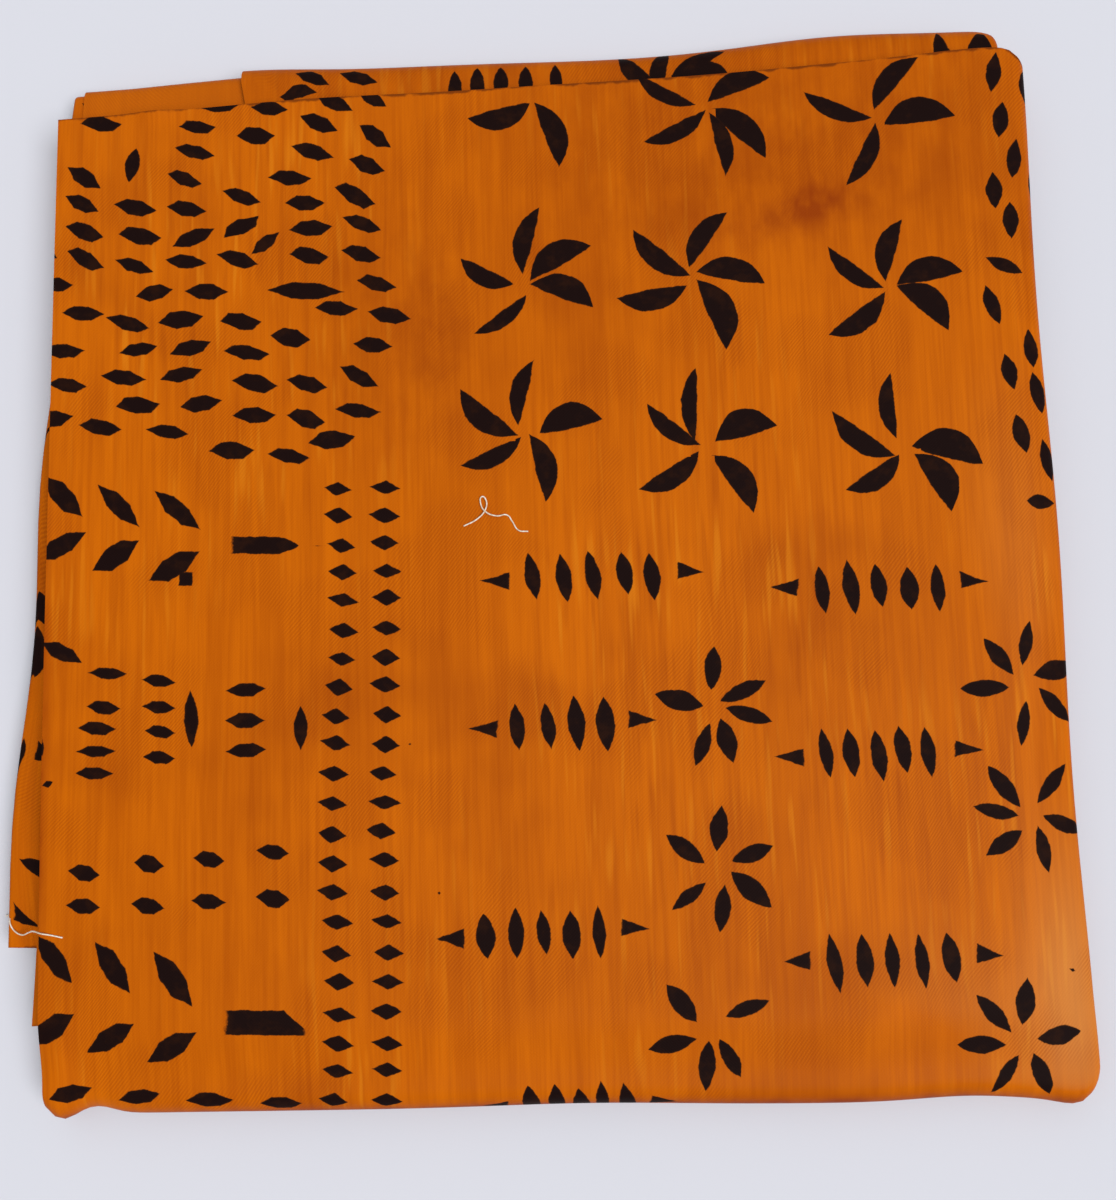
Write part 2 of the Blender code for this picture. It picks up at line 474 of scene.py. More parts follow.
@dataclass
class FoldedCloth:
    """The whole cloth as one grid, folded onto the band and given its thickness."""

    band: FoldedBand = field(default_factory=FoldedBand)
    name: str = "folded_cotton_sheet"
    flat_width: float = 1.14
    flat_length: float = 0.90
    print_cells: int = 126
    hidden_cells: tuple[int, int, int] = (14, 16, 14)
    bend_steps: tuple[int, int, int] = (12, 7, 7)
    top_steps: int = 124
    settle_steps: int = 12
    near_steps: int = 14
    base_steps: int = 16
    far_steps: int = 12
    inner_steps: tuple[int, int, int] = (10, 12, 12)
    fine_far: float = 0.020
    fine_end: float = 0.160
    smooth_below: float = 50.0
    # Dye blotches, with painted shade and painted sheen among them, each marked below
    stains_and_painted_light: tuple[DyeStainAndPaintedLight, ...] = (
        DyeStainAndPaintedLight(0.2198, 0.0401, 0.008, 0.005, 0.40),
        DyeStainAndPaintedLight(0.2240, 0.0375, 0.018, 0.006, 0.20),
        DyeStainAndPaintedLight(0.2040, 0.0450, 0.018, 0.005, 0.26),
        DyeStainAndPaintedLight(0.212, 0.036, 0.055, 0.026, 0.30),
        DyeStainAndPaintedLight(0.220, -0.005, 0.090, 0.042, 0.30),
        DyeStainAndPaintedLight(0.160, 0.050, 0.036, 0.070, 0.12),
        DyeStainAndPaintedLight(0.112, 0.078, 0.008, 0.022, 0.36),
        DyeStainAndPaintedLight(0.094, 0.070, 0.022, 0.040, 0.36),
        DyeStainAndPaintedLight(0.222, 0.165, 0.028, 0.020, 0.18),
        DyeStainAndPaintedLight(0.060, 0.250, 0.045, 0.045, 0.16),
        # Painted shade: the near fold's edge, darkened where it turns down away from the light
        DyeStainAndPaintedLight(0.145, 0.2938, 0.260, 0.0036, 1.20),
        DyeStainAndPaintedLight(0.170, 0.250, 0.030, 0.030, 0.12),
        DyeStainAndPaintedLight(0.232, 0.276, 0.022, 0.010, 0.24),
        # Painted shade: the far fold and the strip beyond the open front, across the whole width,
        # darker where they lie lower and curve away
        DyeStainAndPaintedLight(0.500, 0.6115, 2.000, 0.018, 0.36),
        # Painted shade: a thin dark line along the uppermost layer's left selvedge, over its near half,
        # for the shadow at that edge
        DyeStainAndPaintedLight(0.000, 0.205, 0.0014, 0.075, 0.70),
        # Painted sheen: paler patches on the right shoulder and the near right corner, where they catch
        # the light
        DyeStainAndPaintedLight(0.272, 0.140, 0.012, 0.035, -0.12),
        DyeStainAndPaintedLight(0.279, 0.262, 0.012, 0.034, -0.50),
        DyeStainAndPaintedLight(0.255, 0.270, 0.030, 0.018, -0.18),
    )

    def layer_shares(self, index: int) -> list[float]:
        """The shares of the points along one layer, left to right.

        Args:
            index: which layer, 0 being the uppermost.

        Returns:
            Shares from 0 to 1.
        """
        if index == 0:
            return [step / self.print_cells for step in range(self.print_cells + 1)]
        cells = self.hidden_cells[index - 1]
        return [(1.0 - math.cos(math.pi * step / cells)) / 2 for step in range(cells + 1)]

    def section(self) -> Section:
        """The section of the band, from the upper selvedge round to the other.

        Returns:
            Its points, in order.
        """
        found = Section()
        turns = self.band.turns
        for index in range(self.band.layers):
            heading = 1 if index % 2 == 0 else -1
            shares = self.layer_shares(index)
            along = shares if heading > 0 else [1.0 - share for share in reversed(shares)]
            first = 0 if index == 0 else 1
            last = len(along) if index == self.band.layers - 1 else len(along) - 1
            for share in along[first:last]:
                found.add(index, share, 0.0, (0.0, heading), turns[index].level)
            if index < self.band.layers - 1:
                self.add_bend(found, index + 1, self.bend_steps[index])
        return found

    def add_bend(self, found: Section, index: int, steps: int) -> None:
        """Adds the points round one bend.

        Args:
            found: the section so far.
            index: which turn bends here.
            steps: how many steps the bend has.
        """
        before, after = self.band.turns[index - 1].level, self.band.turns[index].level
        heading = 1 if index % 2 else -1
        rise = 1 if after > before else -1
        centre, radius = (before + after) / 2, abs(after - before) / 2
        for step in range(steps + 1):
            angle = math.pi * step / steps
            side = (-rise * math.sin(angle), heading * math.cos(angle))
            shift = heading * radius * math.sin(angle)
            found.add(index, None, shift, side, centre - rise * radius * math.cos(angle))

    def stations(self) -> list[tuple[Stretch, float]]:
        """The places along the band, from the open front to the inner end.

        Returns:
            Each place's stretch, and how far along that stretch it is.
        """
        band = self.band
        settle = 1.0 - band.settle_length / band.length
        found = [(Stretch.TOP, settle * k / self.top_steps) for k in range(self.top_steps + 1)]
        steps = self.settle_steps
        found += [(Stretch.TOP, mix(settle, 1.0, k / steps)) for k in range(1, steps + 1)]
        for stretch, steps in (
            (Stretch.NEAR_FOLD, self.near_steps),
            (Stretch.BASE, self.base_steps),
            (Stretch.FAR_FOLD, self.far_steps),
        ):
            found += [(stretch, k / steps) for k in range(1, steps + 1)]
        stops = (0.0, self.fine_far / band.length, 1.0 - self.fine_end / band.length, 1.0)
        for number, steps in enumerate(self.inner_steps):
            low, high = stops[number], stops[number + 1]
            found += [(Stretch.INNER, mix(low, high, k / steps)) for k in range(1, steps + 1)]
        return found

    def across_places(self, section: Section, stretch: Stretch, share: float) -> np.ndarray:
        """How far across each section point stands at one station.

        Args:
            section: the section's points.
            stretch: the stretch of the band.
            share: how far along that stretch.

        Returns:
            One distance for each point.
        """
        band = self.band
        count = band.layers + 1
        centres = [band.bend_centre(index, stretch, share) for index in range(count)]
        places = []
        for turn, part, shift in zip(section.turn, section.share, section.shift):
            if part is None:
                places.append(centres[turn] + shift * band.pitch)
            else:
                places.append(mix(centres[turn], centres[turn + 1], part))
        return np.array(places)

    def cuts(self, section: Section) -> tuple[np.ndarray, np.ndarray]:
        """How far short the cloth is cut at the front and at the inner end.

        Args:
            section: the section's points.

        Returns:
            Two rows, each with one distance for a point.
        """
        turns = self.band.turns
        fronts, inners = [], []
        for turn, part in zip(section.turn, section.share):
            following = turns[turn] if part is None else turns[turn + 1]
            share = 0.0 if part is None else part
            fronts.append(mix(turns[turn].front_cut, following.front_cut, share))
            inners.append(mix(turns[turn].inner_cut, following.inner_cut, share))
        return np.array(fronts), np.array(inners)

    def run_places(self, stretch: Stretch, share: float, across: np.ndarray, out: np.ndarray,
                   cuts: tuple[np.ndarray, np.ndarray]) -> tuple[np.ndarray, np.ndarray]:
        """Where each section point lies along the pile, and how high, at one station.

        Args:
            stretch: the stretch of the band.
            share: how far along that stretch.
            across: how far across the points stand.
            out: how far out from the innermost layer they lie.
            cuts: how far short the cloth is cut at the front and at the inner end.

        Returns:
            The distances from the near fold's middle, and the heights.
        """
        band = self.band
        near, far = band.near_line(across), band.far_line(across)
        angle = math.pi * share
        if stretch is Stretch.TOP:
            length = mix(band.front_line(across) - cuts[0], near, share)
            return length, band.top_surface(across, length) + out
        if stretch is Stretch.NEAR_FOLD:
            radius = band.near_radius + out
            middle = band.base_height + band.near_radius
            return near - radius * math.sin(angle), middle + radius * math.cos(angle)
        if stretch is Stretch.BASE:
            return mix(near, far, share), band.base_height - out
        if stretch is Stretch.FAR_FOLD:
            radius = band.far_radius + out
            middle = band.base_height + band.far_radius
            return far + radius * math.sin(angle), middle - radius * math.cos(angle)
        return mix(far, cuts[1], share), band.inner_height + out

    def curl_front(self, section: Section, cuts: np.ndarray, points: np.ndarray) -> None:
        """Curls up the uppermost layer's cut edge at the open front.

        Args:
            section: the section's points.
            cuts: how far short of the front line the cloth is cut at each of them.
            points: the printed face by section point and station, changed in place.
        """
        uppermost = [turn == 0 and part is not None for turn, part in
                     zip(section.turn, section.share)]
        run = points[:, : self.top_steps + self.settle_steps + 1]
        front = self.band.front_line(run[:, :, 0]) - cuts[:, None]
        curl = self.band.front_curl(run[:, :, 0], front - run[:, :, 1])
        run[:, :, 2] += np.array(uppermost)[:, None] * curl

    @functools.cached_property
    def folded_places(self) -> tuple[np.ndarray, np.ndarray]:
        """The folded cloth's printed face, worked out once.

        Returns:
            The points in pile coordinates, by section point and station, and
            their flat coordinates, across and along the cut length.
        """
        section = self.section()
        cuts = self.cuts(section)
        half = self.band.sheet / 2
        aside = half * np.array(section.side_x)
        out = np.array(section.level) * self.band.pitch + half * np.array(section.side_out)
        rows, flats = [], []
        for stretch, share in self.stations():
            across = self.across_places(section, stretch, share)
            length, height = self.run_places(stretch, share, across, out, cuts)
            rows.append(np.stack([across + aside, length, height], axis=1))
            flats.append(self.flat_across(section, across))
        points = np.array(rows).transpose(1, 0, 2)
        self.curl_front(section, cuts[0], points)
        return points, np.stack([np.array(flats).T, self.flat_along(points)], axis=2)

    def flat_along(self, points: np.ndarray) -> np.ndarray:
        """How far along the cut length each point lies.

        Creases and slack lengthen some paths down the top run. That is taken off
        over the run, so that the print isn't skewed where it meets the near fold.

        Args:
            points: the printed face by section point and station.

        Returns:
            One distance for each point.
        """
        top = self.top_steps + self.settle_steps
        front_middle = self.band.front_middle
        along = np.zeros(points.shape[:2])
        along[:, 0] = front_middle - points[:, 0, 1]
        steps = np.linalg.norm(np.diff(points, axis=1), axis=2)
        along[:, 1:] = along[:, :1] + np.cumsum(steps, axis=1)
        drift = front_middle - points[:, top, 1] - along[:, top]
        return along + drift[:, None] * np.minimum(np.arange(points.shape[1]) / top, 1.0)

    def flat_across(self, section: Section, across: np.ndarray) -> np.ndarray:
        """How far across the cut length each point of the section lies.

        Args:
            section: the section's points.
            across: how far across the pile they stand.

        Returns:
            One distance for each point.
        """
        depth = np.array(section.level) * self.band.pitch
        steps = np.hypot(np.diff(across), np.diff(depth))
        return across[0] + np.concatenate([[0.0], np.cumsum(steps)])

    def grid(self, across: int, along: int) -> tuple[bpy.types.Object, np.ndarray, np.ndarray]:
        """Lays out a flat grid for the cloth.

        Args:
            across: how many points it has across.
            along: how many points it has along.

        Returns:
            Its object, and the section point and the station of each vertex.
        """
        bpy.ops.object.select_all(action="DESELECT")
        bpy.ops.mesh.primitive_grid_add(
            x_subdivisions=across - 1, y_subdivisions=along - 1, size=1.0, calc_uvs=False
        )
        cloth = bpy.context.active_object
        cloth.name = cloth.data.name = self.name
        places = np.zeros(len(cloth.data.vertices) * 3)
        cloth.data.vertices.foreach_get("co", places)
        places = places.reshape(-1, 3)
        column = np.rint((places[:, 0] + 0.5) * (across - 1)).astype(int)
        row = np.rint((0.5 - places[:, 1]) * (along - 1)).astype(int)
        return cloth, column, row

    def build(self, moved: Vector, motifs: Sequence["Motif"]) -> bpy.types.Object:
        """Makes the cloth's object.

        Args:
            moved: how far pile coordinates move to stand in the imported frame.
            motifs: the printed motifs, in flat coordinates.

        Returns:
            The finished object, with its thickness and its flat coordinates.
        """
        points, flats = self.folded_places
        cloth, column, row = self.grid(*points.shape[:2])
        mesh = cloth.data
        placed = points[column, row] + np.array(moved)
        mesh.vertices.foreach_set("co", placed.ravel())
        corners = np.zeros(len(mesh.loops), int)
        mesh.loops.foreach_get("vertex_index", corners)
        flat = flats[column, row][corners]
        layer = mesh.uv_layers.new(name=FLAT_MAP, do_init=False)
        layer.uv.foreach_set("vector", flat.astype(np.float32).ravel())
        PrintChart(motifs).mark(mesh, flat)
        self.mark_dye_and_painted_light(mesh, flat)
        self.mark_edges(mesh, flat, flats, column[corners])
        mesh.update()
        self.thicken(cloth)
        bpy.ops.object.shade_smooth_by_angle(angle=math.radians(self.smooth_below))
        return cloth

    def mark_dye_and_painted_light(self, mesh: bpy.types.Mesh, flat: np.ndarray) -> None:
        """Stores the depth of the dye blotches, the painted shade and the painted sheen on the face
        corners.

        Args:
            mesh: the cloth's grid.
            flat: the flat coordinates of its face corners.
        """
        depth = np.zeros(len(flat))
        for stain_and_light in self.stains_and_painted_light:
            across = (flat[:, 0] - stain_and_light.across) / stain_and_light.wide
            along = (flat[:, 1] - stain_and_light.along) / stain_and_light.long
            depth += stain_and_light.depth * np.exp(-(across**2) - along**2)
        store(mesh, DYE_AND_LIGHT_DEPTH, depth)

    def mark_edges(self, mesh: bpy.types.Mesh, flat: np.ndarray, flats: np.ndarray,
                   column: np.ndarray) -> None:
        """Stores how far each face corner lies from the cloth's cut ends.

        Args:
            mesh: the cloth's grid.
            flat: the flat coordinates of its face corners.
            flats: the flat coordinates by section point and station.
            column: the section point of each face corner.
        """
        along = flat[:, 1]
        gap = np.minimum(along - flats[column, 0, 1], flats[column, -1, 1] - along)
        store(mesh, EDGE_GAP, gap)

    def along_at(self, across: float, back: float) -> float:
        """The place along the cut length of a point of the innermost run's strip.

        Args:
            across: how far across the pile.
            back: how far back from the middle of the front line.

        Returns:
            The place along, in metres.
        """
        points, flats = self.folded_places
        column = int(np.argmin(abs(points[: self.print_cells, -1, 0] - across)))
        first = points.shape[1] - sum(self.inner_steps)
        lengths = points[column, first:, 1]
        return float(np.interp(back - self.band.front_middle, -lengths, flats[column, first:, 1]))

    def thicken(self, cloth: bpy.types.Object) -> None:
        """Gives the sheet its thickness, away from the printed face, and marks that face.

        Args:
            cloth: the sheet's object, of its printed faces alone.
        """
        printed = len(cloth.data.polygons)
        shell = cloth.modifiers.new("thickness", "SOLIDIFY")
        shell.thickness = self.band.thickness
        shell.offset = -1.0
        shell.use_rim = True
        bpy.context.view_layer.objects.active = cloth
        bpy.ops.object.modifier_apply(modifier=shell.name)
        store(cloth.data, PRINT_SIDE, np.arange(len(cloth.data.polygons)) < printed, "FACE")


class MotifKind(Enum):
    """The kinds of stamped motif."""

    LOZENGE = 1
    DIAMOND = 2
    LEAF = 3
    PETAL = 4
    WEDGE = 5
    BAR = 6
    BULLET = 7
    CHISEL = 8


@dataclass(frozen=True)
class Motif:
    """One stamped motif in flat coordinates, turned by degrees and slanted by a share."""

    kind: MotifKind
    across: float
    along: float
    half_length: float
    half_width: float
    turn: float = 0.0
    slant: float = 0.0

    def local(self, flat: np.ndarray) -> np.ndarray:
        """Flat places seen from the motif, in its half lengths and half widths.

        Args:
            flat: places across and along the cut length.

        Returns:
            Two columns, 0 at the middle and 1 at the ends and the sides.
        """
        angle = math.radians(self.turn)
        shifted = flat - np.array([self.across, self.along])
        lengthways = shifted[..., 0] * math.cos(angle) + shifted[..., 1] * math.sin(angle)
        sideways = shifted[..., 1] * math.cos(angle) - shifted[..., 0] * math.sin(angle)
        lengthways = lengthways - self.slant * sideways
        return np.stack([lengthways / self.half_length, sideways / self.half_width], axis=-1)


@dataclass
class PrintChart:
    """Marks each face with the two motifs nearest to it, and where it lies on them."""

    motifs: Sequence[Motif]
    near: float = 0.006
    off_motif: float = 9.0

    def mark(self, mesh: bpy.types.Mesh, flat: np.ndarray) -> None:
        """Stores, for the two nearest motifs, the places on the face corners and the kinds.

        Args:
            mesh: the cloth's grid, all of four-cornered faces.
            flat: the flat coordinates of its face corners.
        """
        corners = flat.reshape(-1, 4, 2)
        for order, chosen in enumerate(self.nearest(corners.mean(axis=1))):
            places = np.zeros((len(corners), 4, 3))
            kinds = np.zeros(len(corners))
            places[:, :, :2] = self.off_motif
            places[:, :, 2] = 1.0
            for number in np.unique(chosen[chosen >= 0]):
                motif = self.motifs[number]
                faces = chosen == number
                places[faces, :, :2] = motif.local(corners[faces])
                places[faces, :, 2] = motif.half_width / MM
                kinds[faces] = motif.kind.value
            store(mesh, MOTIF_PLACE[order], places, kind="FLOAT_VECTOR")
            store(mesh, MOTIF_KIND[order], kinds, "FACE")

    def nearest(self, middles: np.ndarray) -> tuple[np.ndarray, np.ndarray]:
        """The nearest and the second nearest motif of each face.

        Args:
            middles: the faces' middles, in flat coordinates.

        Returns:
            Two rows of motif numbers, below nothing where none is near.
        """
        gaps = np.full((2, len(middles)), np.inf)
        chosen = np.full((2, len(middles)), -1)
        for number, motif in enumerate(self.motifs):
            reach = motif.half_length + motif.half_width + self.near
            away = abs(middles - np.array([motif.across, motif.along])).max(axis=1)
            close = np.nonzero(away < reach)[0]
            if not len(close):
                continue
            local = motif.local(middles[close])
            gap = (np.hypot(local[:, 0], local[:, 1]) - 1.0) * motif.half_width
            first = gap < gaps[0, close]
            second = ~first & (gap < gaps[1, close])
            pushed = close[first]
            gaps[1, pushed], chosen[1, pushed] = gaps[0, pushed], chosen[0, pushed]
            gaps[0, pushed], chosen[0, pushed] = gap[first], number
            gaps[1, close[second]], chosen[1, close[second]] = gap[second], number
        return chosen[0], chosen[1]


@dataclass(frozen=True)
class Cut:
    """How a stamp is cut.

    Its length and width are in millimetres, its turn is in degrees, and the
    slant of its sides is a share.
    """

    kind: MotifKind
    long: float
    wide: float
    turn: float = 0.0
    slant: float = 0.0


@dataclass(frozen=True)
class Bloom:
    """A flower.

    Its middle is in millimetres. Its petals' rays are in degrees, from the
    right towards the far side.
    """

    across: float
    along: float
    rays: tuple[float, ...]


@dataclass(frozen=True)
class PetalCut:
    """How a flower's petals are cut, in millimetres and degrees.

    Radius is from the flower's middle to a petal's, lean is how far a petal is
    turned off its ray, swell is how much wider a petal that points to the
    right is, as a share, and loose is the chance part of a petal's width.
    """

    kind: MotifKind
    radius: float
    long: float
    wide: float
    lean: float
    swell: float
    loose: float


@dataclass(frozen=True)
class LeafRow:
    """A row of upright leaves between two wedges, in millimetres."""

    across: float
    along: float
    leaves: int
    pitch: float


@dataclass(frozen=True)
class LozengeColumn:
    """A column of lozenges, by its first place along and its pitch.

    Each lozenge has a place across and a turn, and None stands for one left out.
    """

    first: float
    pitch: float
    lozenges: tuple[Optional[tuple[float, float]], ...]


@dataclass(frozen=True)
class Mark:
    """A single motif and its place, in millimetres."""

    across: float
    along: float
    cut: Cut


@dataclass(frozen=True)
class SmallColumn:
    """A long column of small lozenges.

    Leaning is how much of the two columns' common lean it takes.
    """

    across: float
    cut: Cut
    leaning: float


@dataclass(frozen=True)
class Fishbones:
    """A group of slanted bars in pairs.

    Along is its first upper bar's place, and reach is how far nearer the pair's
    lower bar lies.
    """

    along: float
    reach: float
    upper: Cut
    lower: Cut


@dataclass(frozen=True)
class StampRow:
    """A row of like motifs.

    Its first place and its step are across and along, and turning is how much
    further each motif is turned than the one before it.
    """

    first: tuple[float, float]
    step: tuple[float, float]
    motifs: int
    cut: Cut
    turning: float = 0.0


@dataclass
class HandPrint:
    """The printed design, a quarter of the cloth's width, by its zones.

    Places are in millimetres across and back from the middle of the front
    line. Each zone is set out by rule and then shaken a little, as hand
    stamping is.
    """

    seed: int = 11
    place_loose: float = 0.5
    long_loose: float = 0.07
    wide_loose: float = 0.10
    turn_loose: float = 3.0

    # The field of lozenges
    field_cut: Cut = Cut(MotifKind.LOZENGE, 12.4, 4.6, 0.0, 0.35)
    field_loose: tuple[float, float, float] = (0.8, 0.5, 0.35)
    lozenge_room: tuple[float, float] = (15.0, 7.2)
    apart_rounds: int = 8

    # Petals
    petal_long_loose: float = 0.06
    petal_lean_loose: float = 0.5
    petal_radius_loose: float = 0.07

    # The twin columns
    twin_start: float = 120.0
    twin_pitch: float = 7.95
    twin_rows: int = 23
    twin_lean: float = -4.0
    twin_sway: float = 1.2
    twin_sway_pitch: float = 2.1
    twin_sway_start: float = -0.6
    twins: tuple[SmallColumn, ...] = (
        SmallColumn(82.6, Cut(MotifKind.DIAMOND, 8.6, 4.4, 9), 1.0),
        SmallColumn(95.0, Cut(MotifKind.DIAMOND, 8.5, 4.4, 6), 0.5),
    )

    # The fishbones
    bone_pairs: int = 3
    bone_first: float = 4.5
    bone_pitch: float = 15.8
    bone_drop: float = 2.6
    lower_bone_shift: float = 0.5
    lower_bone_drop: float = 1.2
    bones: tuple[Fishbones, ...] = (
        Fishbones(120.0, 14.0, Cut(MotifKind.LOZENGE, 17.0, 5.4, 44, 0.2),
                  Cut(MotifKind.LOZENGE, 16.2, 5.7, -31, -0.2)),
        Fishbones(247.0, 18.0, Cut(MotifKind.LOZENGE, 17.0, 5.4, 52, 0.2),
                  Cut(MotifKind.LOZENGE, 16.2, 5.7, -31, -0.2)),
    )

    # The small rows and stacks
    stack_places: tuple[float, ...] = (170.0, 180.0, 185.7, 191.2, 197.0)
    stack_across: float = 17.5
    stack_steepness: float = 8.0
    stack_cut: Cut = Cut(MotifKind.LOZENGE, 10.4, 3.5, 3, 0.3)
    small_stamp_rows: tuple[StampRow, ...] = (
        StampRow((32.0, 173.2), (0.0, 6.9), 4, Cut(MotifKind.LOZENGE, 9.2, 3.5, 6, 0.3)),
        StampRow((56.0, 176.0), (0.0, 8.4), 3, Cut(MotifKind.LOZENGE, 10.8, 4.1)),
        StampRow((12.3, 223.6), (17.0, -1.2), 4, Cut(MotifKind.LOZENGE, 9.0, 4.4, 7, 0.2)),
        StampRow((12.3, 233.4), (17.0, -0.48), 4, Cut(MotifKind.LOZENGE, 9.0, 4.4, 7, 0.2)),
        StampRow((8.2, 283.2), (18.8, 1.2), 4, Cut(MotifKind.LOZENGE, 12.6, 4.2, -11, 0.3), 5.0),
    )

    # The rows of leaves
    row_leaf: Cut = Cut(MotifKind.LEAF, 13.6, 4.6, 84)
    row_leaf_loose: tuple[float, float, float] = (1.4, 0.6, 4.0)
    row_place_loose: float = 0.9
    wedge_reach: float = 10.2
    wedge_lift: float = 0.8
    left_wedge: Cut = Cut(MotifKind.WEDGE, 7.8, 5.2, 2)
    right_wedge: Cut = Cut(MotifKind.WEDGE, 7.8, 5.2, 186)

    # The stamps of the shoulder, the strip and the flowers
    shoulder_leaf: Cut = Cut(MotifKind.LEAF, 11.8, 4.6)
    strip_leaf: Cut = Cut(MotifKind.LEAF, 12.0, 4.4, 90)
    windmill_petal: PetalCut = PetalCut(MotifKind.PETAL, 12.3, 20.0, 5.4, 17.0, 0.42, 0.18)
    strip_petal: PetalCut = PetalCut(MotifKind.PETAL, 12.0, 18.0, 5.2, 17.0, 0.2, 0.12)
    star_petal: PetalCut = PetalCut(MotifKind.LEAF, 10.4, 13.2, 4.6, 6.0, 0.0, 0.18)

    # The panels, in metres and by number
    panel_across: float = 0.2935
    panel_along: float = 0.3160
    panels: tuple[int, int] = (4, 3)

    # The places, read off
    windmills: tuple[Bloom, ...] = (
        Bloom(140, 5, (212, 296)),
        Bloom(190, 9, (161, 35, 225, 292, 327)),
        Bloom(240, 15, (75, 16, 253, 168)),
        Bloom(136, 61, (94, 45, 350, 244, 171)),
        Bloom(184, 61, (75, 12, 152, 212, 305)),
        Bloom(240, 66, (85, 26, 157, 225, 341)),
        Bloom(135, 105, (101, 22, 295, 218, 162)),
        Bloom(186, 111, (107, 33, 157, 221, 312)),
        Bloom(242, 113, (111, 7, 165, 229, 318)),
    )
    stars: tuple[Bloom, ...] = (
        Bloom(184.5, 184.4, (90, 29, 347, 291, 254, 168)),
        Bloom(184.5, 228, (90, 22, 327, 270, 221, 147)),
        Bloom(180, 270, (132, 29, 303, 265, 201)),
        Bloom(270.5, 180, (84, 132, 186, 266, 323, 23)),
        Bloom(270, 216, (129, 47, 339, 285, 219, 173)),
        Bloom(264, 276, (84, 138, 8, 302, 240, 181)),
    )
    columns: tuple[LozengeColumn, ...] = (
        LozengeColumn(47.5, 10.1, ((-1, 35), (1, 5), None, (4, 0), (5, 6), (1, -10))),
        LozengeColumn(9.5, 8.2, (
            (13, 3), None, (9, 32), (8, 28), (9, 15), (12, 24), None, (11, 5), None, None, None,
            (14, 9),
        )),
        LozengeColumn(35.9, 8.3, (
            (26, 12), (25, 5), (23, 20), None, (21, 15), (25, -6), (21, 8), (25, 0),
        )),
        LozengeColumn(11.0, 8.3, (
            (42, 5), (41, 15), (38, 15), (36, 8), (43, -25), (36, 5), (31, -12), (36, -5),
            (40, -15), (37, -12), (43, -8), (34, 8),
        )),
        LozengeColumn(5.5, 9.3, (
            (47, -5), (58, 3), None, (54, 18), (51, -30), (52, 15), (43, 0), (54, 3), (56, 3),
            (58, 10), (59, 3), (52, 0),
        )),
        LozengeColumn(11.5, 8.0, (
            (77, 22), (75, 20), (68, 3), (74, 3), (75, -3), (75, 8), None, (81, 3), (68, 9),
        )),
        LozengeColumn(89.3, 10.3, ((75, 10), (72, 14), (68, 5))),
        LozengeColumn(15.3, 9.1, (
            (93, 35), (91, 20), (86, 22), (89, 22), (88, 12), (93, 10), (97, 10), (92, 8),
            (87, 30), (88, 5), (80, -8),
        )),
    )
    leaf_rows: tuple[LeafRow, ...] = (
        LeafRow(136, 147, 5, 8.4),
        LeafRow(216, 152, 5, 8.2),
        LeafRow(131, 188, 4, 8.0),
        LeafRow(215, 198, 5, 7.1),
        LeafRow(121, 244, 5, 7.6),
        LeafRow(214, 253, 5, 8.0),
        LeafRow(132, 290.8, 5, 6.4),
    )
    marks: tuple[Mark, ...] = (
        Mark(61, 136, Cut(MotifKind.BULLET, 19.5, 4.8, 0)),
        Mark(61, 264.5, Cut(MotifKind.CHISEL, 21.5, 6.8, 0)),
        Mark(41, 183, Cut(MotifKind.LEAF, 16, 4.2, 90)),
        Mark(71, 187, Cut(MotifKind.LEAF, 12.5, 4.2, 90)),
        Mark(5, 164, Cut(MotifKind.LOZENGE, 12, 4.2, 26)),
        Mark(73, 62, Cut(MotifKind.LOZENGE, 23.5, 5.0, 4)),
        Mark(23, 23, Cut(MotifKind.LEAF, 11, 4.6, 102)),
        Mark(62, 6, Cut(MotifKind.LOZENGE, 11.5, 4.4, 8)),
        Mark(81, 5, Cut(MotifKind.LOZENGE, 11.5, 4.4, 24)),
        Mark(93, 4, Cut(MotifKind.LOZENGE, 10.5, 4.0, 30)),
        Mark(61.5, 47, Cut(MotifKind.LOZENGE, 10.5, 4.2, -38)),
        Mark(39.3, 144.8, Cut(MotifKind.BAR, 4.2, 4.0, 5)),
        Mark(1.9, 200.0, Cut(MotifKind.DIAMOND, 3.2, 2.4, -20)),
        Mark(0.2, 189.5, Cut(MotifKind.DIAMOND, 6.5, 1.2, 88)),
        Mark(108.6, 232.0, Cut(MotifKind.DIAMOND, 1.1, 1.0)),
        Mark(101.3, 192.2, Cut(MotifKind.DIAMOND, 1.0, 0.8)),
        Mark(279.6, 257.8, Cut(MotifKind.DIAMOND, 2.2, 1.0, 20)),
        Mark(274, 60, Cut(MotifKind.LEAF, 11.0, 4.2, 25)),
        Mark(279, 129, Cut(MotifKind.LEAF, 8.0, 4.6, 3)),
    )
    shoulder: tuple[tuple[float, float, float], ...] = (
        (275, 1, 103),
        (276, 16, 97),
        (279, 28, 102),
        (272, 37, 90),
        (277, 47, 93),
        (270, 72, 73),
        (273, 92, 82),
        (280, 85, 85),
        (281, 98, 80),
        (275, 110, 80),
        (282, 117, 80),
        (284, 5, 95),
        (285, 35, 100),
        (286, 52, 95),
        (286, 66, 95),
        (287, 80, 90),
        (288, 104, 90),
    )
    strip_rows: tuple[tuple[float, float], ...] = (
        (116.5, -1.0),
        (123.0, -1.6),
        (130.5, -2.0),
        (138.0, -2.5),
        (147.0, -2.8),
    )
    strip_blooms: tuple[Bloom, ...] = (
        Bloom(180, -4, (152, 100, 48, 350)),
        Bloom(268, -8, (118, 65)),
    )
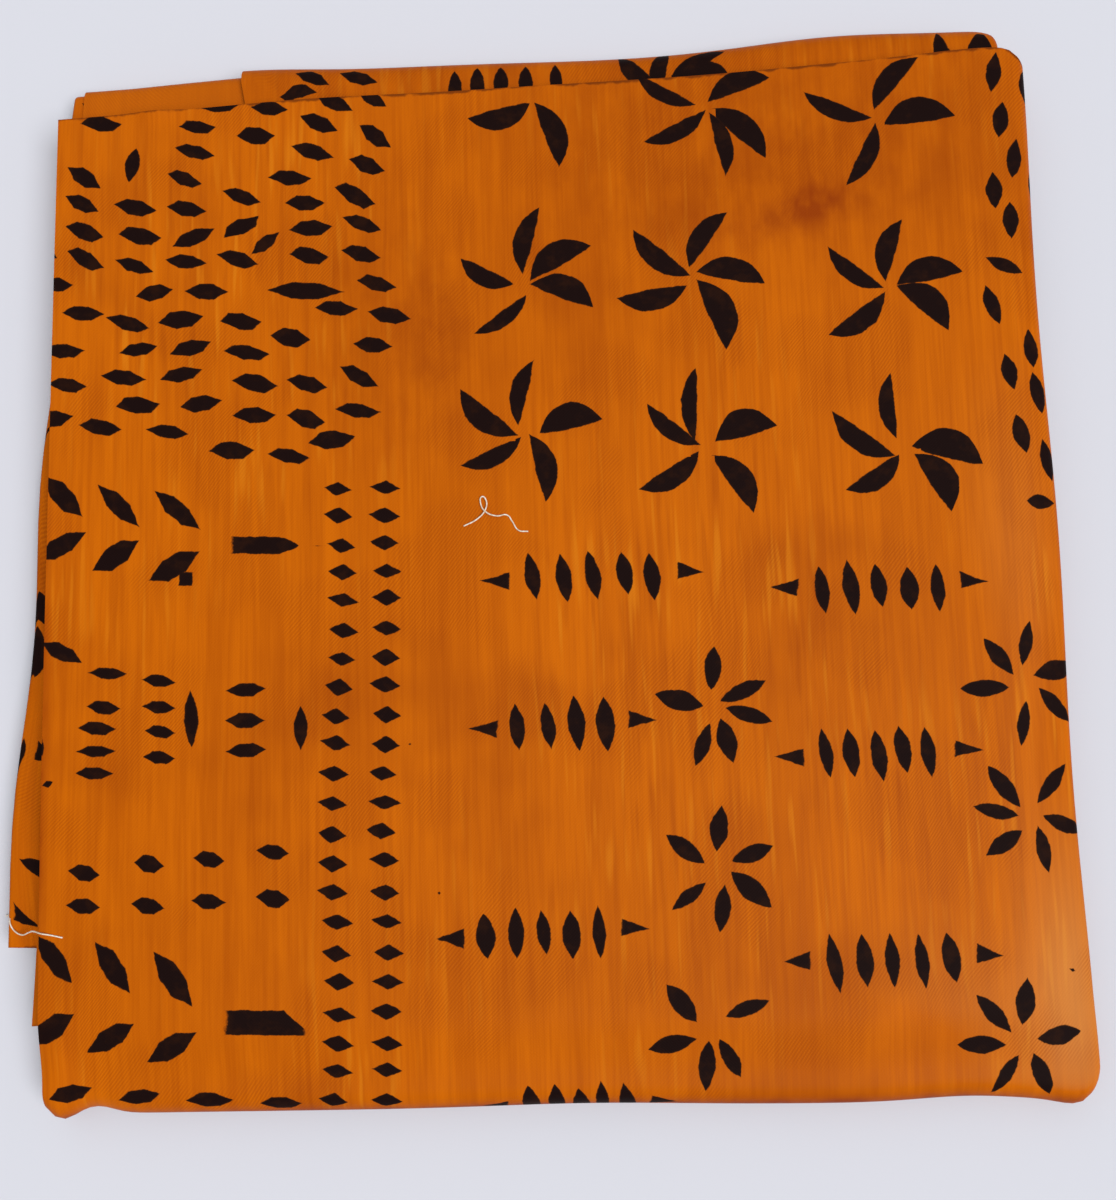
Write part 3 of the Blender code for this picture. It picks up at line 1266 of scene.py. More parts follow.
    strip_marks: tuple[Mark, ...] = (
        Mark(74, -7, Cut(MotifKind.LOZENGE, 11.5, 4.4, 22)),
        Mark(88, -8, Cut(MotifKind.LOZENGE, 11.5, 4.4, 18)),
        Mark(70, 0, Cut(MotifKind.LOZENGE, 11.5, 4.4, 10)),
    )
    chance: random.Random = field(init=False)

    def __post_init__(self) -> None:
        """Starts the shaking from the seed."""
        self.chance = random.Random(self.seed)

    def shaken(self, reach: float) -> float:
        """A chance amount within the reach, either way."""
        return self.chance.uniform(-reach, reach)

    def stamp(self, cut: Cut, across: float, along: float) -> Motif:
        """One motif from millimetres, shaken in place, size and turn.

        Args:
            cut: how its stamp is cut.
            across: its place across the panel.
            along: its place along.

        Returns:
            The motif, in metres.
        """
        return Motif(
            cut.kind,
            (across + self.shaken(self.place_loose)) * MM,
            (along + self.shaken(self.place_loose)) * MM,
            cut.long * MM / 2 * (1 + self.shaken(self.long_loose)),
            cut.wide * MM / 2 * (1 + self.shaken(self.wide_loose)),
            cut.turn + self.shaken(self.turn_loose),
            cut.slant,
        )

    def lozenge_field(self) -> list[Motif]:
        """Columns of lozenges over the far left corner, each lozenge turned its own way.

        Returns:
            The lozenges, kept apart.
        """
        found = []
        long_loose, wide_loose, slant_loose = self.field_loose
        for column in self.columns:
            for place, lozenge in enumerate(column.lozenges):
                long = self.field_cut.long + self.shaken(long_loose)
                wide = self.field_cut.wide + self.shaken(wide_loose)
                slant = self.field_cut.slant + self.shaken(slant_loose)
                if lozenge is not None:
                    across, turn = lozenge
                    cut = Cut(self.field_cut.kind, long, wide, turn, slant)
                    found.append(self.stamp(cut, across, column.first + column.pitch * place))
        return self.kept_apart(found)

    def kept_apart(self, crowded: list[Motif]) -> list[Motif]:
        """Moves neighbours that would touch a little apart.

        Args:
            crowded: motifs that all lie much the same way.

        Returns:
            The same motifs, moved.
        """
        places = [[one.across, one.along] for one in crowded]
        reach = (self.lozenge_room[0] * MM, self.lozenge_room[1] * MM)
        for _ in range(self.apart_rounds):
            for first, one in enumerate(places):
                for other in places[:first]:
                    steps = [(one[axis] - other[axis]) / reach[axis] for axis in (0, 1)]
                    gap = math.hypot(*steps)
                    if 0.0 < gap < 1.0:
                        for axis in (0, 1):
                            push = steps[axis] / gap * (1.0 - gap) * reach[axis] / 2
                            one[axis] += push
                            other[axis] -= push
        return [
            replace(one, across=across, along=along)
            for one, (across, along) in zip(crowded, places)
        ]

    def twin_columns(self) -> Iterable[Motif]:
        """Two columns of small lozenges side by side, down to the near fold and past it.

        Yields:
            One motif for each lozenge.
        """
        for row in range(self.twin_rows):
            sway = self.twin_sway * math.sin(row / self.twin_sway_pitch + self.twin_sway_start)
            lean = self.twin_lean * row / self.twin_rows + sway
            for column in self.twins:
                across = column.across + lean * column.leaning
                yield self.stamp(column.cut, across, self.twin_start + self.twin_pitch * row)

    def fishbones(self) -> Iterable[Motif]:
        """Groups of slanted bars, each pair leaning together like a fish's bones.

        Yields:
            One motif for each bar.
        """
        for group in self.bones:
            for pair in range(self.bone_pairs):
                across = self.bone_first + self.bone_pitch * pair
                drop = self.bone_drop * pair
                yield self.stamp(group.upper, across, group.along + drop)
                across = across - self.lower_bone_shift
                drop = group.reach + self.lower_bone_drop * drop
                yield self.stamp(group.lower, across, group.along + drop)

    def small_rows(self) -> Iterable[Motif]:
        """Short rows and stacks of lozenges on the left, between the fishbones.

        Yields:
            One motif for each lozenge.
        """
        for along in self.stack_places:
            across = self.stack_across - (along - self.stack_places[0]) / self.stack_steepness
            yield self.stamp(self.stack_cut, across, along)
        for row in self.small_stamp_rows:
            for place in range(row.motifs):
                across, along = (row.first[axis] + row.step[axis] * place for axis in (0, 1))
                cut = replace(row.cut, turn=row.cut.turn + row.turning * place)
                yield self.stamp(cut, across, along)

    def shoulder_leaves(self) -> Iterable[Motif]:
        """Upright leaves down the far half of the right side, and over its bend."""
        for across, along, turn in self.shoulder:
            yield self.stamp(replace(self.shoulder_leaf, turn=turn), across, along)

    def strip(self, along_at: Callable[[float, float], float]) -> list[Motif]:
        """The motifs of the strip that shows beyond the open front.

        Args:
            along_at: gives the place along the cut length, in metres, from the
                places across and back.

        Returns:
            The motifs, each moved from its place back to its place along.
        """
        found: list[Motif] = []
        for across, back in self.strip_rows:
            found.append(self.stamp(self.strip_leaf, across, back))
        for flower in self.strip_blooms:
            found += self.bloom(flower, self.strip_petal)
        for one in self.strip_marks:
            found.append(self.stamp(one.cut, one.across, one.along))
        return [replace(one, along=along_at(one.across, one.along)) for one in found]

    def bloom(self, flower: Bloom, cut: PetalCut) -> Iterable[Motif]:
        """The petals of one flower.

        Args:
            flower: its place and its petals' rays.
            cut: how its petals are cut.

        Yields:
            One motif for each petal.
        """
        for angle in flower.rays:
            ray = self.shaken(self.turn_loose) - angle
            out = cut.radius * (1 + self.shaken(self.petal_radius_loose))
            towards_right = max(math.cos(math.radians(ray)), 0.0)
            wide = cut.wide * (1 + cut.swell * towards_right + self.shaken(cut.loose))
            long = cut.long * (1 + self.shaken(self.petal_long_loose))
            turn = ray + cut.lean * (1 + self.shaken(self.petal_lean_loose))
            yield self.stamp(
                Cut(cut.kind, long, wide, turn),
                flower.across + out * math.cos(math.radians(ray)),
                flower.along + out * math.sin(math.radians(ray)),
            )

    def leaf_row(self, row: LeafRow) -> Iterable[Motif]:
        """One row of leaves with a wedge at each end, pointing away from it.

        Args:
            row: its place, its pitch and how many leaves it has.

        Yields:
            One motif for each leaf and wedge.
        """
        last = row.across + row.pitch * (row.leaves - 1)
        long_loose, wide_loose, turn_loose = self.row_leaf_loose
        yield self.stamp(self.left_wedge, row.across - self.wedge_reach, row.along)
        for leaf in range(row.leaves):
            across = row.across + row.pitch * leaf
            along = row.along + self.shaken(self.row_place_loose)
            long = self.row_leaf.long + self.shaken(long_loose)
            wide = self.row_leaf.wide + self.shaken(wide_loose)
            turn = self.row_leaf.turn + self.shaken(turn_loose)
            yield self.stamp(Cut(self.row_leaf.kind, long, wide, turn), across, along)
        yield self.stamp(self.right_wedge, last + self.wedge_reach, row.along - self.wedge_lift)

    def quarter(self) -> list[Motif]:
        """The motifs of one panel of the design.

        Returns:
            All of them, in flat metres.
        """
        found: list[Motif] = []
        for flower in self.windmills:
            found += self.bloom(flower, self.windmill_petal)
        for flower in self.stars:
            found += self.bloom(flower, self.star_petal)
        for row in self.leaf_rows:
            found += self.leaf_row(row)
        for one in self.marks:
            found.append(self.stamp(one.cut, one.across, one.along))
        for zone in (self.lozenge_field, self.twin_columns, self.fishbones, self.small_rows,
                     self.shoulder_leaves):
            found += list(zone())
        return found

    def motifs(self) -> list[Motif]:
        """The whole cloth's motifs: the design again for each panel, shaken afresh.

        Returns:
            All of them, in flat metres.
        """
        found: list[Motif] = []
        for across in range(self.panels[0]):
            for along in range(self.panels[1]):
                moved = across * self.panel_across, along * self.panel_along
                for one in self.quarter():
                    place = one.across + moved[0], one.along + moved[1]
                    found.append(replace(one, across=place[0], along=place[1]))
        return found


@dataclass(frozen=True)
class Grain:
    """Soft noise over the cloth.

    Across and along are how many patches a metre it has each way, and the
    limits are where it is cut off, with the values there where not 0 and 1.
    """

    across: float
    along: float
    start: tuple[float, float] = (0.0, 0.0)
    detail: float = 2.0
    roughness: float = 0.5
    limits: tuple[float, ...] = ()


class Nodes:
    """A small hand for laying out the nodes of a material or of a node group."""

    def __init__(self, tree: bpy.types.NodeTree) -> None:
        """Works on one node tree."""
        self.tree = tree

    def add(self, kind: str, inputs: Optional[dict[str | int, object]] = None,
            **settings: object) -> bpy.types.Node:
        """Adds a node.

        Args:
            kind: the node's type.
            inputs: values or sockets for its inputs, by name or number.
            settings: the node's own settings.

        Returns:
            The new node.
        """
        node = self.tree.nodes.new(kind)
        for name, value in settings.items():
            setattr(node, name, value)
        self.join(node, inputs or {})
        return node

    def join(self, node: bpy.types.Node, inputs: dict[str | int, object]) -> None:
        """Gives a node its inputs.

        Args:
            node: the node.
            inputs: values or sockets, by name or number.
        """
        for name, value in inputs.items():
            if isinstance(value, bpy.types.NodeSocket):
                self.tree.links.new(value, node.inputs[name])
            else:
                node.inputs[name].default_value = value

    def maths(self, operation: str, *values: Value, clamp: bool = False) -> Socket:
        """One sum of numbers or sockets, and its result."""
        inputs = dict(enumerate(values))
        return self.add("ShaderNodeMath", inputs, operation=operation, use_clamp=clamp).outputs[0]

    def times(self, first: Value, second: Value) -> Socket:
        """The product of two values."""
        return self.maths("MULTIPLY", first, second)

    def plus(self, first: Value, second: Value) -> Socket:
        """The sum of two values."""
        return self.maths("ADD", first, second)

    def less(self, first: Value, second: Value) -> Socket:
        """The first value less the second."""
        return self.maths("SUBTRACT", first, second)

    def lesser(self, first: Value, second: Value) -> Socket:
        """The smaller of two values."""
        return self.maths("MINIMUM", first, second)

    def greater(self, first: Value, second: Value) -> Socket:
        """The larger of two values."""
        return self.maths("MAXIMUM", first, second)

    def wave(self, place: Value, turns: Value) -> Socket:
        """A sine wave, from the place and the turns by which it goes round."""
        return self.maths("SINE", self.times(place, turns))

    def ramp(self, value: Socket, low: float, high: float, start: float = 0.0,
             end: float = 1.0) -> Socket:
        """A value eased from one end of a range to the other.

        Args:
            value: what drives it.
            low: where it starts to change.
            high: where it stops.
            start: its value up to low.
            end: its value from high on.

        Returns:
            The eased value.
        """
        inputs = {"Value": value, 1: low, 2: high, 3: start, 4: end}
        node = self.add("ShaderNodeMapRange", inputs, interpolation_type="SMOOTHSTEP")
        return node.outputs["Result"]

    def noise(self, vector: Socket, scale: float, detail: float, roughness: float) -> Socket:
        """Soft noise at a vector, from 0 to 1."""
        inputs = {"Vector": vector, "Scale": scale, "Detail": detail, "Roughness": roughness}
        return self.add("ShaderNodeTexNoise", inputs).outputs["Fac"]

    def grain(self, flat: Socket, grain: Grain) -> Socket:
        """A grain at the flat coordinates.

        Args:
            flat: the flat coordinates.
            grain: which grain.

        Returns:
            Its noise, held between its limits if it has them.
        """
        scale = (grain.across, grain.along, 1.0)
        inputs = {"Vector": flat, "Scale": scale, "Location": (*grain.start, 0.0)}
        place = self.add("ShaderNodeMapping", inputs).outputs["Vector"]
        noise = self.noise(place, 1.0, grain.detail, grain.roughness)
        return self.ramp(noise, *grain.limits) if grain.limits else noise

    def tint(self, share: Value, first: Colour | Socket, second: Colour | Socket) -> Socket:
        """A colour mixed from two by a share."""
        node = self.add("ShaderNodeMix", {0: share, 6: first, 7: second}, data_type="RGBA")
        return node.outputs[2]

    def mixed(self, share: Value, first: Value, second: Value) -> Socket:
        """A value mixed from two by a share."""
        return self.add("ShaderNodeMix", {0: share, 2: first, 3: second}).outputs[0]

    def stored(self, name: str, output: str = "Fac") -> Socket:
        """What the cloth's mesh stores under a name."""
        return self.add("ShaderNodeAttribute", attribute_name=name).outputs[output]


def new_group(name: str, inputs: Sequence[str], outputs: Sequence[str],
              lay: Callable[[Nodes, dict[str, Socket]], dict[str, Socket]]) -> bpy.types.NodeTree:
    """Makes a shader node group.

    Args:
        name: the group's name.
        inputs: the names of the inputs; those of places are vectors.
        outputs: the names of the outputs, all plain values.
        lay: lays the nodes, given a hand and the input sockets, and returns
            the socket for each output.

    Returns:
        The group's tree.
    """
    tree = bpy.data.node_groups.new(name, "ShaderNodeTree")
    for label in inputs:
        kind = "NodeSocketVector" if label in VECTOR_INPUTS else "NodeSocketFloat"
        tree.interface.new_socket(label, in_out="INPUT", socket_type=kind)
    for label in outputs:
        tree.interface.new_socket(label, in_out="OUTPUT", socket_type="NodeSocketFloat")
    hand = Nodes(tree)
    entry = hand.add("NodeGroupInput")
    result = lay(hand, {label: entry.outputs[label] for label in inputs})
    hand.add("NodeGroupOutput", result)
    return tree


@dataclass(frozen=True)
class UnevenYarns:
    """The yarns of a plain weave: long streaks, thick slubs, a soft hatch and relief."""

    fine: Grain = Grain(820, 26, detail=3.0, roughness=0.6)
    broad: Grain = Grain(210, 9, (3, 7), roughness=0.55)
    fine_share: float = 0.5
    weft: Grain = Grain(26, 900, (5, 1))
    slub: Grain = Grain(430, 24, (9, 4), limits=(0.62, 0.76))
    drift: Grain = Grain(22, 22, detail=1.0)
    drift_reach: float = 0.012
    hatch_slope: float = 1.25
    crossing_relief: float = 0.5
    slub_relief: float = 0.6
    weft_relief: float = 0.5

    def group(self) -> bpy.types.NodeTree:
        """The yarns' node group."""
        outputs = ("Streak", "Slub", "Twill", "Height")
        return new_group("uneven_yarns", ("Flat", "Pitch", "Hatch"), outputs, self.lay)

    def lay(self, hand: Nodes, given: dict[str, Socket]) -> dict[str, Socket]:
        """Lays the group's nodes.

        Args:
            hand: lays nodes in the group.
            given: the group's input sockets.

        Returns:
            A socket for each of the group's outputs.
        """
        flat = given["Flat"]
        parts = hand.add("ShaderNodeSeparateXYZ", {0: flat})
        across, along = parts.outputs[0], parts.outputs[1]
        turns = hand.maths("DIVIDE", math.pi, given["Pitch"])
        crossing = hand.times(hand.wave(across, turns), hand.wave(along, turns))
        slope = hand.plus(hand.times(across, self.hatch_slope), along)
        slope = hand.plus(slope, hand.times(hand.grain(flat, self.drift), self.drift_reach))
        twill = hand.wave(slope, hand.maths("DIVIDE", math.tau, given["Hatch"]))
        fine = hand.times(hand.grain(flat, self.fine), self.fine_share)
        broad = hand.times(hand.grain(flat, self.broad), 1.0 - self.fine_share)
        slub = hand.grain(flat, self.slub)
        height = hand.times(crossing, self.crossing_relief)
        height = hand.plus(height, hand.times(slub, self.slub_relief))
        height = hand.plus(height, hand.times(hand.grain(flat, self.weft), self.weft_relief))
        return {"Streak": hand.plus(fine, broad), "Slub": slub, "Twill": twill, "Height": height}


@dataclass(frozen=True)
class StampedInk:
    """The ink of a stamped motif: how much covers the cloth, and how thick it lies.

    Each kind's outline is a sum of its own lengthways and sideways places that
    is nothing on the outline and grows inwards, in half widths.
    """

    lozenge_point: float = 1.5
    diamond_bow: float = 1.2
    petal_bow: float = 2.3
    petal_belly: float = 1.8
    petal_back: float = 0.2
    bullet_point: float = 1.7
    bullet_bow: float = 0.6
    chisel_long: float = 0.48
    chisel_slope: float = 0.36
    chisel_cut: float = 3.0
    kind_margin: float = 0.3
    off_motif: float = -4.0
    ragged: Grain = Grain(900, 900, roughness=0.6)
    ragged_reach: float = 0.45
    wobble: Grain = Grain(260, 260, detail=1.0)
    wobble_reach: float = 0.8
    edge: tuple[float, float] = (-0.10, 0.22)
    body: tuple[float, float] = (0.05, 0.7)
    thin: Grain = Grain(140, 140, detail=3.0, roughness=0.65, limits=(0.30, 0.52))

    def group(self) -> bpy.types.NodeTree:
        """The ink's node group."""
        return new_group("stamped_ink", ("Flat", "Place", "Kind"), ("Cover", "Body"), self.lay)

    def outlines(self, hand: Nodes, long: Socket, wide: Socket) -> dict[MotifKind, Socket]:
        """Lays the outline of each kind.

        Args:
            hand: lays nodes in the group.
            long: the lengthways place on the motif, 1 at its right end.
            wide: the sideways place on it, 1 at its near side.

        Returns:
            For each kind, how far inside its outline a place lies.
        """
        far_long, far_wide = hand.maths("ABSOLUTE", long), hand.maths("ABSOLUTE", wide)
        from_end = hand.less(1.0, far_long)
        point = hand.lesser(hand.times(from_end, self.lozenge_point), 1.0)
        diamond = hand.less(1.0, hand.maths("POWER", far_long, self.diamond_bow))
        bow = hand.less(1.0, hand.times(long, long))
        arch = hand.less(1.0, hand.maths("POWER", far_long, self.petal_bow))
        belly = hand.less(hand.times(arch, self.petal_belly), self.petal_belly - 1.0)
        back = hand.plus(hand.times(arch, self.petal_back), 1.0 - self.petal_back)
        taper = hand.times(hand.plus(long, 1.0), 0.5)
        bar = hand.less(1.0, hand.greater(far_long, far_wide))
        nose = hand.greater(hand.times(hand.less(1.0, long), self.bullet_point), 0.0)
        nose = hand.lesser(hand.maths("POWER", nose, self.bullet_bow), 1.0)
        slope = hand.times(hand.plus(wide, 1.0), self.chisel_slope)
        cut = hand.times(hand.less(hand.plus(self.chisel_long, slope), long), self.chisel_cut)
        return {
            MotifKind.LOZENGE: hand.less(point, far_wide),
            MotifKind.DIAMOND: hand.less(diamond, far_wide),
            MotifKind.LEAF: hand.less(bow, far_wide),
            MotifKind.PETAL: hand.lesser(hand.plus(belly, wide), hand.less(back, wide)),
            MotifKind.WEDGE: hand.lesser(hand.less(taper, far_wide), hand.less(1.0, long)),
            MotifKind.BAR: bar,
            MotifKind.BULLET: hand.lesser(hand.less(nose, far_wide), hand.plus(long, 1.0)),
            MotifKind.CHISEL: hand.lesser(bar, cut),
        }

    def lay(self, hand: Nodes, given: dict[str, Socket]) -> dict[str, Socket]:
        """Lays the group's nodes.

        Args:
            hand: lays nodes in the group.
            given: the group's input sockets.

        Returns:
            A socket for each of the group's outputs.
        """
        flat = given["Flat"]
        parts = hand.add("ShaderNodeSeparateXYZ", {0: given["Place"]})
        long, wide, size = parts.outputs[0], parts.outputs[1], parts.outputs[2]
        inside = self.off_motif
        for kind, shape in self.outlines(hand, long, wide).items():
            chosen = hand.maths("COMPARE", given["Kind"], float(kind.value), self.kind_margin)
            inside = hand.mixed(chosen, inside, shape)
        ragged = hand.less(hand.grain(flat, self.ragged), 0.5)
        wobble = hand.less(hand.grain(flat, self.wobble), 0.5)
        shake = hand.plus(
            hand.times(ragged, self.ragged_reach), hand.times(wobble, self.wobble_reach)
        )
        depth = hand.plus(hand.times(inside, size), shake)
        body = hand.times(hand.ramp(depth, *self.body), hand.grain(flat, self.thin))
        return {"Cover": hand.ramp(depth, *self.edge), "Body": body}


@dataclass(frozen=True)
class DyeTint:
    """A tint that the dye has in patches, everywhere or in its loose places alone."""

    grain: Grain
    colour: Colour
    strength: float
    loose_only: bool


@dataclass(frozen=True)
class PrintedCotton:
    """Golden rust cotton with a slight satin sheen, stamped in dark brown."""

    name: str = "printed_cotton"
    golden: Colour = (0.580, 0.130, 0.0004, 1.0)
    # Painted sheen: the paler, greyer colour of the right shoulder and the near right corner where they
    # catch the light
    painted_sheen: Colour = (0.590, 0.240, 0.0600, 1.0)
    ink: Colour = (0.0085, 0.0026, 0.0022, 1.0)
    thin_ink: Colour = (0.0170, 0.0048, 0.0022, 1.0)
    back: Colour = (0.470, 0.105, 0.0020, 1.0)
    back_share: float = 0.55
    # Painted shade: a dark band within about a millimetre of the cloth's cut ends, for the thin shadow
    # line at the open front's edge
    cut_end_shade: Colour = (0.120, 0.022, 0.0020, 1.0)
    cut_end_shade_share: float = 0.8
    cut_end_shade_reach: tuple[float, ...] = (0.0002, 0.0010, 1.0, 0.0)
    cut_end_shade_grain: Grain = Grain(130, 130, detail=3.0, roughness=0.6, limits=(0.3, 0.7, -0.0004, 0.0007))
    streaks: tuple[float, float] = (0.28, 0.70)
    loose: Grain = Grain(14, 8, (6, 2), limits=(0.42, 0.60))
    tints: tuple[DyeTint, ...] = (
        DyeTint(Grain(400, 30, (4, 2), 1.0, limits=(0.56, 0.72)), DEEP, 0.26, True),
        DyeTint(Grain(17, 13.6, (5.1, 28.9), 3.0, 0.6, (0.50, 0.72)), DEEP, 0.42, False),
        DyeTint(Grain(46, 3.2, (1.1, 0.4), limits=(0.48, 0.75)), RUST, 0.40, False),
        DyeTint(Grain(450, 30, (2, 8), 1.0, limits=(0.56, 0.74)), PALE, 0.60, True),
    )
    slub_share: float = 0.15
    # Breaks up the dye blotches and the painted shade
    stain_and_shade_grain: Grain = Grain(120, 60, (7, 3), 3.0, 0.6, (0.30, 0.70, 0.55, 1.30))
    hatch_patches: Grain = Grain(30, 30, limits=(0.46, 0.62, 0.03, 0.34))
    hatch_shade: tuple[float, ...] = (-0.6, 0.7, 1.0, 0.0)
    roughness: float = 0.46
    roughness_loose: float = 0.25
    ink_roughness: float = 0.60
    specular: float = 0.04
    sheen: float = 0.008
    sheen_roughness: float = 0.40
    sheen_tint: Colour = (1.0, 0.80, 0.60, 1.0)
    yarn_pitch: float = 0.00045
    hatch_pitch: float = 0.00125
    relief: float = 0.00006
    relief_strength: float = 0.35

    def build(self) -> bpy.types.Material:
        """Makes the material.

        Returns:
            The finished material.
        """
        material = bpy.data.materials.new(self.name)
        material.use_nodes = True
        hand = Nodes(material.node_tree)
        shader = material.node_tree.nodes["Principled BSDF"]
        flat = hand.add("ShaderNodeUVMap", uv_map=FLAT_MAP).outputs["UV"]
        sizes = {"Flat": flat, "Pitch": self.yarn_pitch, "Hatch": self.hatch_pitch}
        yarns = hand.add("ShaderNodeGroup", sizes, node_tree=UnevenYarns().group())
        ink_group = StampedInk().group()
        stamps = []
        for place, kind in zip(MOTIF_PLACE, MOTIF_KIND):
            places = {"Flat": flat, "Place": hand.stored(place, "Vector"), "Kind": hand.stored(kind)}
            stamp = hand.add("ShaderNodeGroup", places, node_tree=ink_group)
            stamps.append(stamp.outputs)
        printed = hand.stored(PRINT_SIDE)
        colour = self.dyed_with_painted_light(hand, flat, yarns)
        cover = hand.times(hand.greater(*(stamp["Cover"] for stamp in stamps)), printed)
        colour = hand.tint(printed, hand.tint(self.back_share, colour, self.back), colour)
        body = hand.greater(*(stamp["Body"] for stamp in stamps))
        colour = hand.tint(cover, colour, hand.tint(body, self.thin_ink, self.ink))
        rough = hand.times(hand.less(yarns.outputs["Streak"], 0.5), self.roughness_loose)
        rough = hand.mixed(cover, hand.plus(rough, self.roughness), self.ink_roughness)
        bump = hand.add(
            "ShaderNodeBump",
            {"Height": yarns.outputs["Height"], "Strength": self.relief_strength,
             "Distance": self.relief},
        )
        hand.join(shader, {
            "Base Color": colour,
            "Roughness": rough,
            "Normal": bump.outputs["Normal"],
            "Specular IOR Level": self.specular,
            "Sheen Weight": self.sheen,
            "Sheen Roughness": self.sheen_roughness,
            "Sheen Tint": self.sheen_tint,
        })
        return material

    def dyed_with_painted_light(self, hand: Nodes, flat: Socket, yarns: bpy.types.Node) -> Socket:
        """The dye's colour: yarn by yarn, with soft blotches where it took unevenly, and with
        painted shade and painted sheen laid over it.

        Args:
            hand: lays nodes in the material.
            flat: the cloth's flat coordinates.
            yarns: the node of the yarns' group.

        Returns:
            The colour's socket.
        """
        colour = hand.tint(hand.ramp(yarns.outputs["Streak"], *self.streaks), RUST, self.golden)
        loose = hand.grain(flat, self.loose)
        for tint in self.tints:
            share = hand.grain(flat, tint.grain)
            share = hand.times(share, loose) if tint.loose_only else share
            colour = hand.tint(hand.times(share, tint.strength), colour, tint.colour)
        colour = hand.tint(hand.times(yarns.outputs["Slub"], self.slub_share), colour, PALE)
        # Dye blotches and painted shade darken the colour where the stored depth is positive
        stain_and_light = hand.stored(DYE_AND_LIGHT_DEPTH)
        darker = hand.greater(hand.times(stain_and_light, hand.grain(flat, self.stain_and_shade_grain)), 0.0)
        colour = hand.tint(darker, colour, DEEP)
        # Painted sheen: paler and greyer where the stored depth is negative, on the right shoulder and
        # near right corner
        colour = hand.tint(hand.maths("MULTIPLY", stain_and_light, -1.0, clamp=True), colour, self.painted_sheen)
        shade = hand.ramp(yarns.outputs["Twill"], *self.hatch_shade)
        shade = hand.times(shade, hand.grain(flat, self.hatch_patches))
        colour = hand.tint(shade, colour, DEEP)
        # Painted shade along the cut ends, darkest at the edge itself
        gap = hand.plus(hand.stored(EDGE_GAP), hand.grain(flat, self.cut_end_shade_grain))
        cut_end_shade_mask = hand.times(hand.ramp(gap, *self.cut_end_shade_reach), self.cut_end_shade_share)
        return hand.tint(cut_end_shade_mask, colour, self.cut_end_shade)


@dataclass(frozen=True)
class LintFibre:
    """Off-white cotton fibre with a soft, uneven twist."""

    name: str = "lint_fibre"
    light: Colour = (0.86, 0.80, 0.70, 1.0)
    dark: Colour = (0.62, 0.50, 0.36, 1.0)
    shades: tuple[float, float] = (0.35, 0.65)
    roughness: float = 0.8
    sheen: float = 0.3
    twist: float = 900.0
    twist_roughness: float = 0.6
    relief: float = 0.0001
    relief_strength: float = 0.5

    def build(self) -> bpy.types.Material:
        """Makes the material.

        Returns:
            The finished material.
        """
        material = bpy.data.materials.new(self.name)
        material.use_nodes = True
        hand = Nodes(material.node_tree)
        shader = material.node_tree.nodes["Principled BSDF"]
        place = hand.add("ShaderNodeTexCoord").outputs["Object"]
        uneven = hand.noise(place, self.twist, 2.0, self.twist_roughness)
        colour = hand.tint(hand.ramp(uneven, *self.shades), self.dark, self.light)
        bump = hand.add(
            "ShaderNodeBump",
            {"Height": uneven, "Strength": self.relief_strength, "Distance": self.relief},
        )
        hand.join(shader, {
            "Base Color": colour,
            "Normal": bump.outputs["Normal"],
            "Roughness": self.roughness,
            "Sheen Weight": self.sheen,
        })
        return material


@dataclass
class LintThread:
    """A short loose thread that lies on the cloth, by its places in millimetres.

    Each place is how far across, how far back from the front line, and how
    high above what it lies on.
    """

    name: str
    route: tuple[tuple[float, float, float], ...]
    radius: float = 0.00020
    roundness: int = 1
    steps: int = 8

    def laid(self, band: FoldedBand, moved: Vector, cloth: BVHTree) -> bpy.types.Curve:
        """Lays the thread's line over the cloth.

        Args:
            band: the folds that it lies on.
            moved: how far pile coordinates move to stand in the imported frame.
            cloth: the cloth's faces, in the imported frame.

        Returns:
            The curve, as thick as the thread.
        """
        data = bpy.data.curves.new(self.name, "CURVE")
        data.dimensions = "3D"
        data.bevel_depth = self.radius
        data.bevel_resolution = self.roundness
        data.use_fill_caps = True
        data.resolution_u = self.steps
        spline = data.splines.new("BEZIER")
        spline.bezier_points.add(len(self.route) - 1)
        for point, (across, back, lift) in zip(spline.bezier_points, self.route):
            place = Vector((across * MM, band.front_middle - back * MM, 0.0)) + moved
            under = cloth.ray_cast(place + Vector((0.0, 0.0, 1.0)), Vector((0.0, 0.0, -1.0)))[0]
            ground = under.z if under else 0.0
            point.co = Vector((place.x, place.y, ground + self.radius + lift * MM))
            point.handle_left_type = point.handle_right_type = "AUTO"
        return data

    def build(self, band: FoldedBand, moved: Vector, cloth: BVHTree,
              fibre: bpy.types.Material) -> bpy.types.Object:
        """Makes the thread as one closed tube.

        Args:
            band: the folds that it lies on.
            moved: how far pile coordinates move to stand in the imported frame.
            cloth: the cloth's faces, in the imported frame.
            fibre: the thread's material.

        Returns:
            The thread's object.
        """
        thread = bpy.data.objects.new(self.name, self.laid(band, moved, cloth))
        bpy.context.scene.collection.objects.link(thread)
        bpy.ops.object.select_all(action="DESELECT")
        thread.select_set(True)
        bpy.context.view_layer.objects.active = thread
        bpy.ops.object.convert(target="MESH")
        thread = bpy.context.active_object
        thread.data.materials.clear()
        thread.data.materials.append(fibre)
        for face in thread.data.polygons:
            face.use_smooth = True
        return thread


@dataclass(frozen=True)
class SoftLight:
    """A distant light: where it shines from, how wide in degrees, and how strong."""

    name: str
    place: tuple[float, float, float]
    spread: float
    power: float


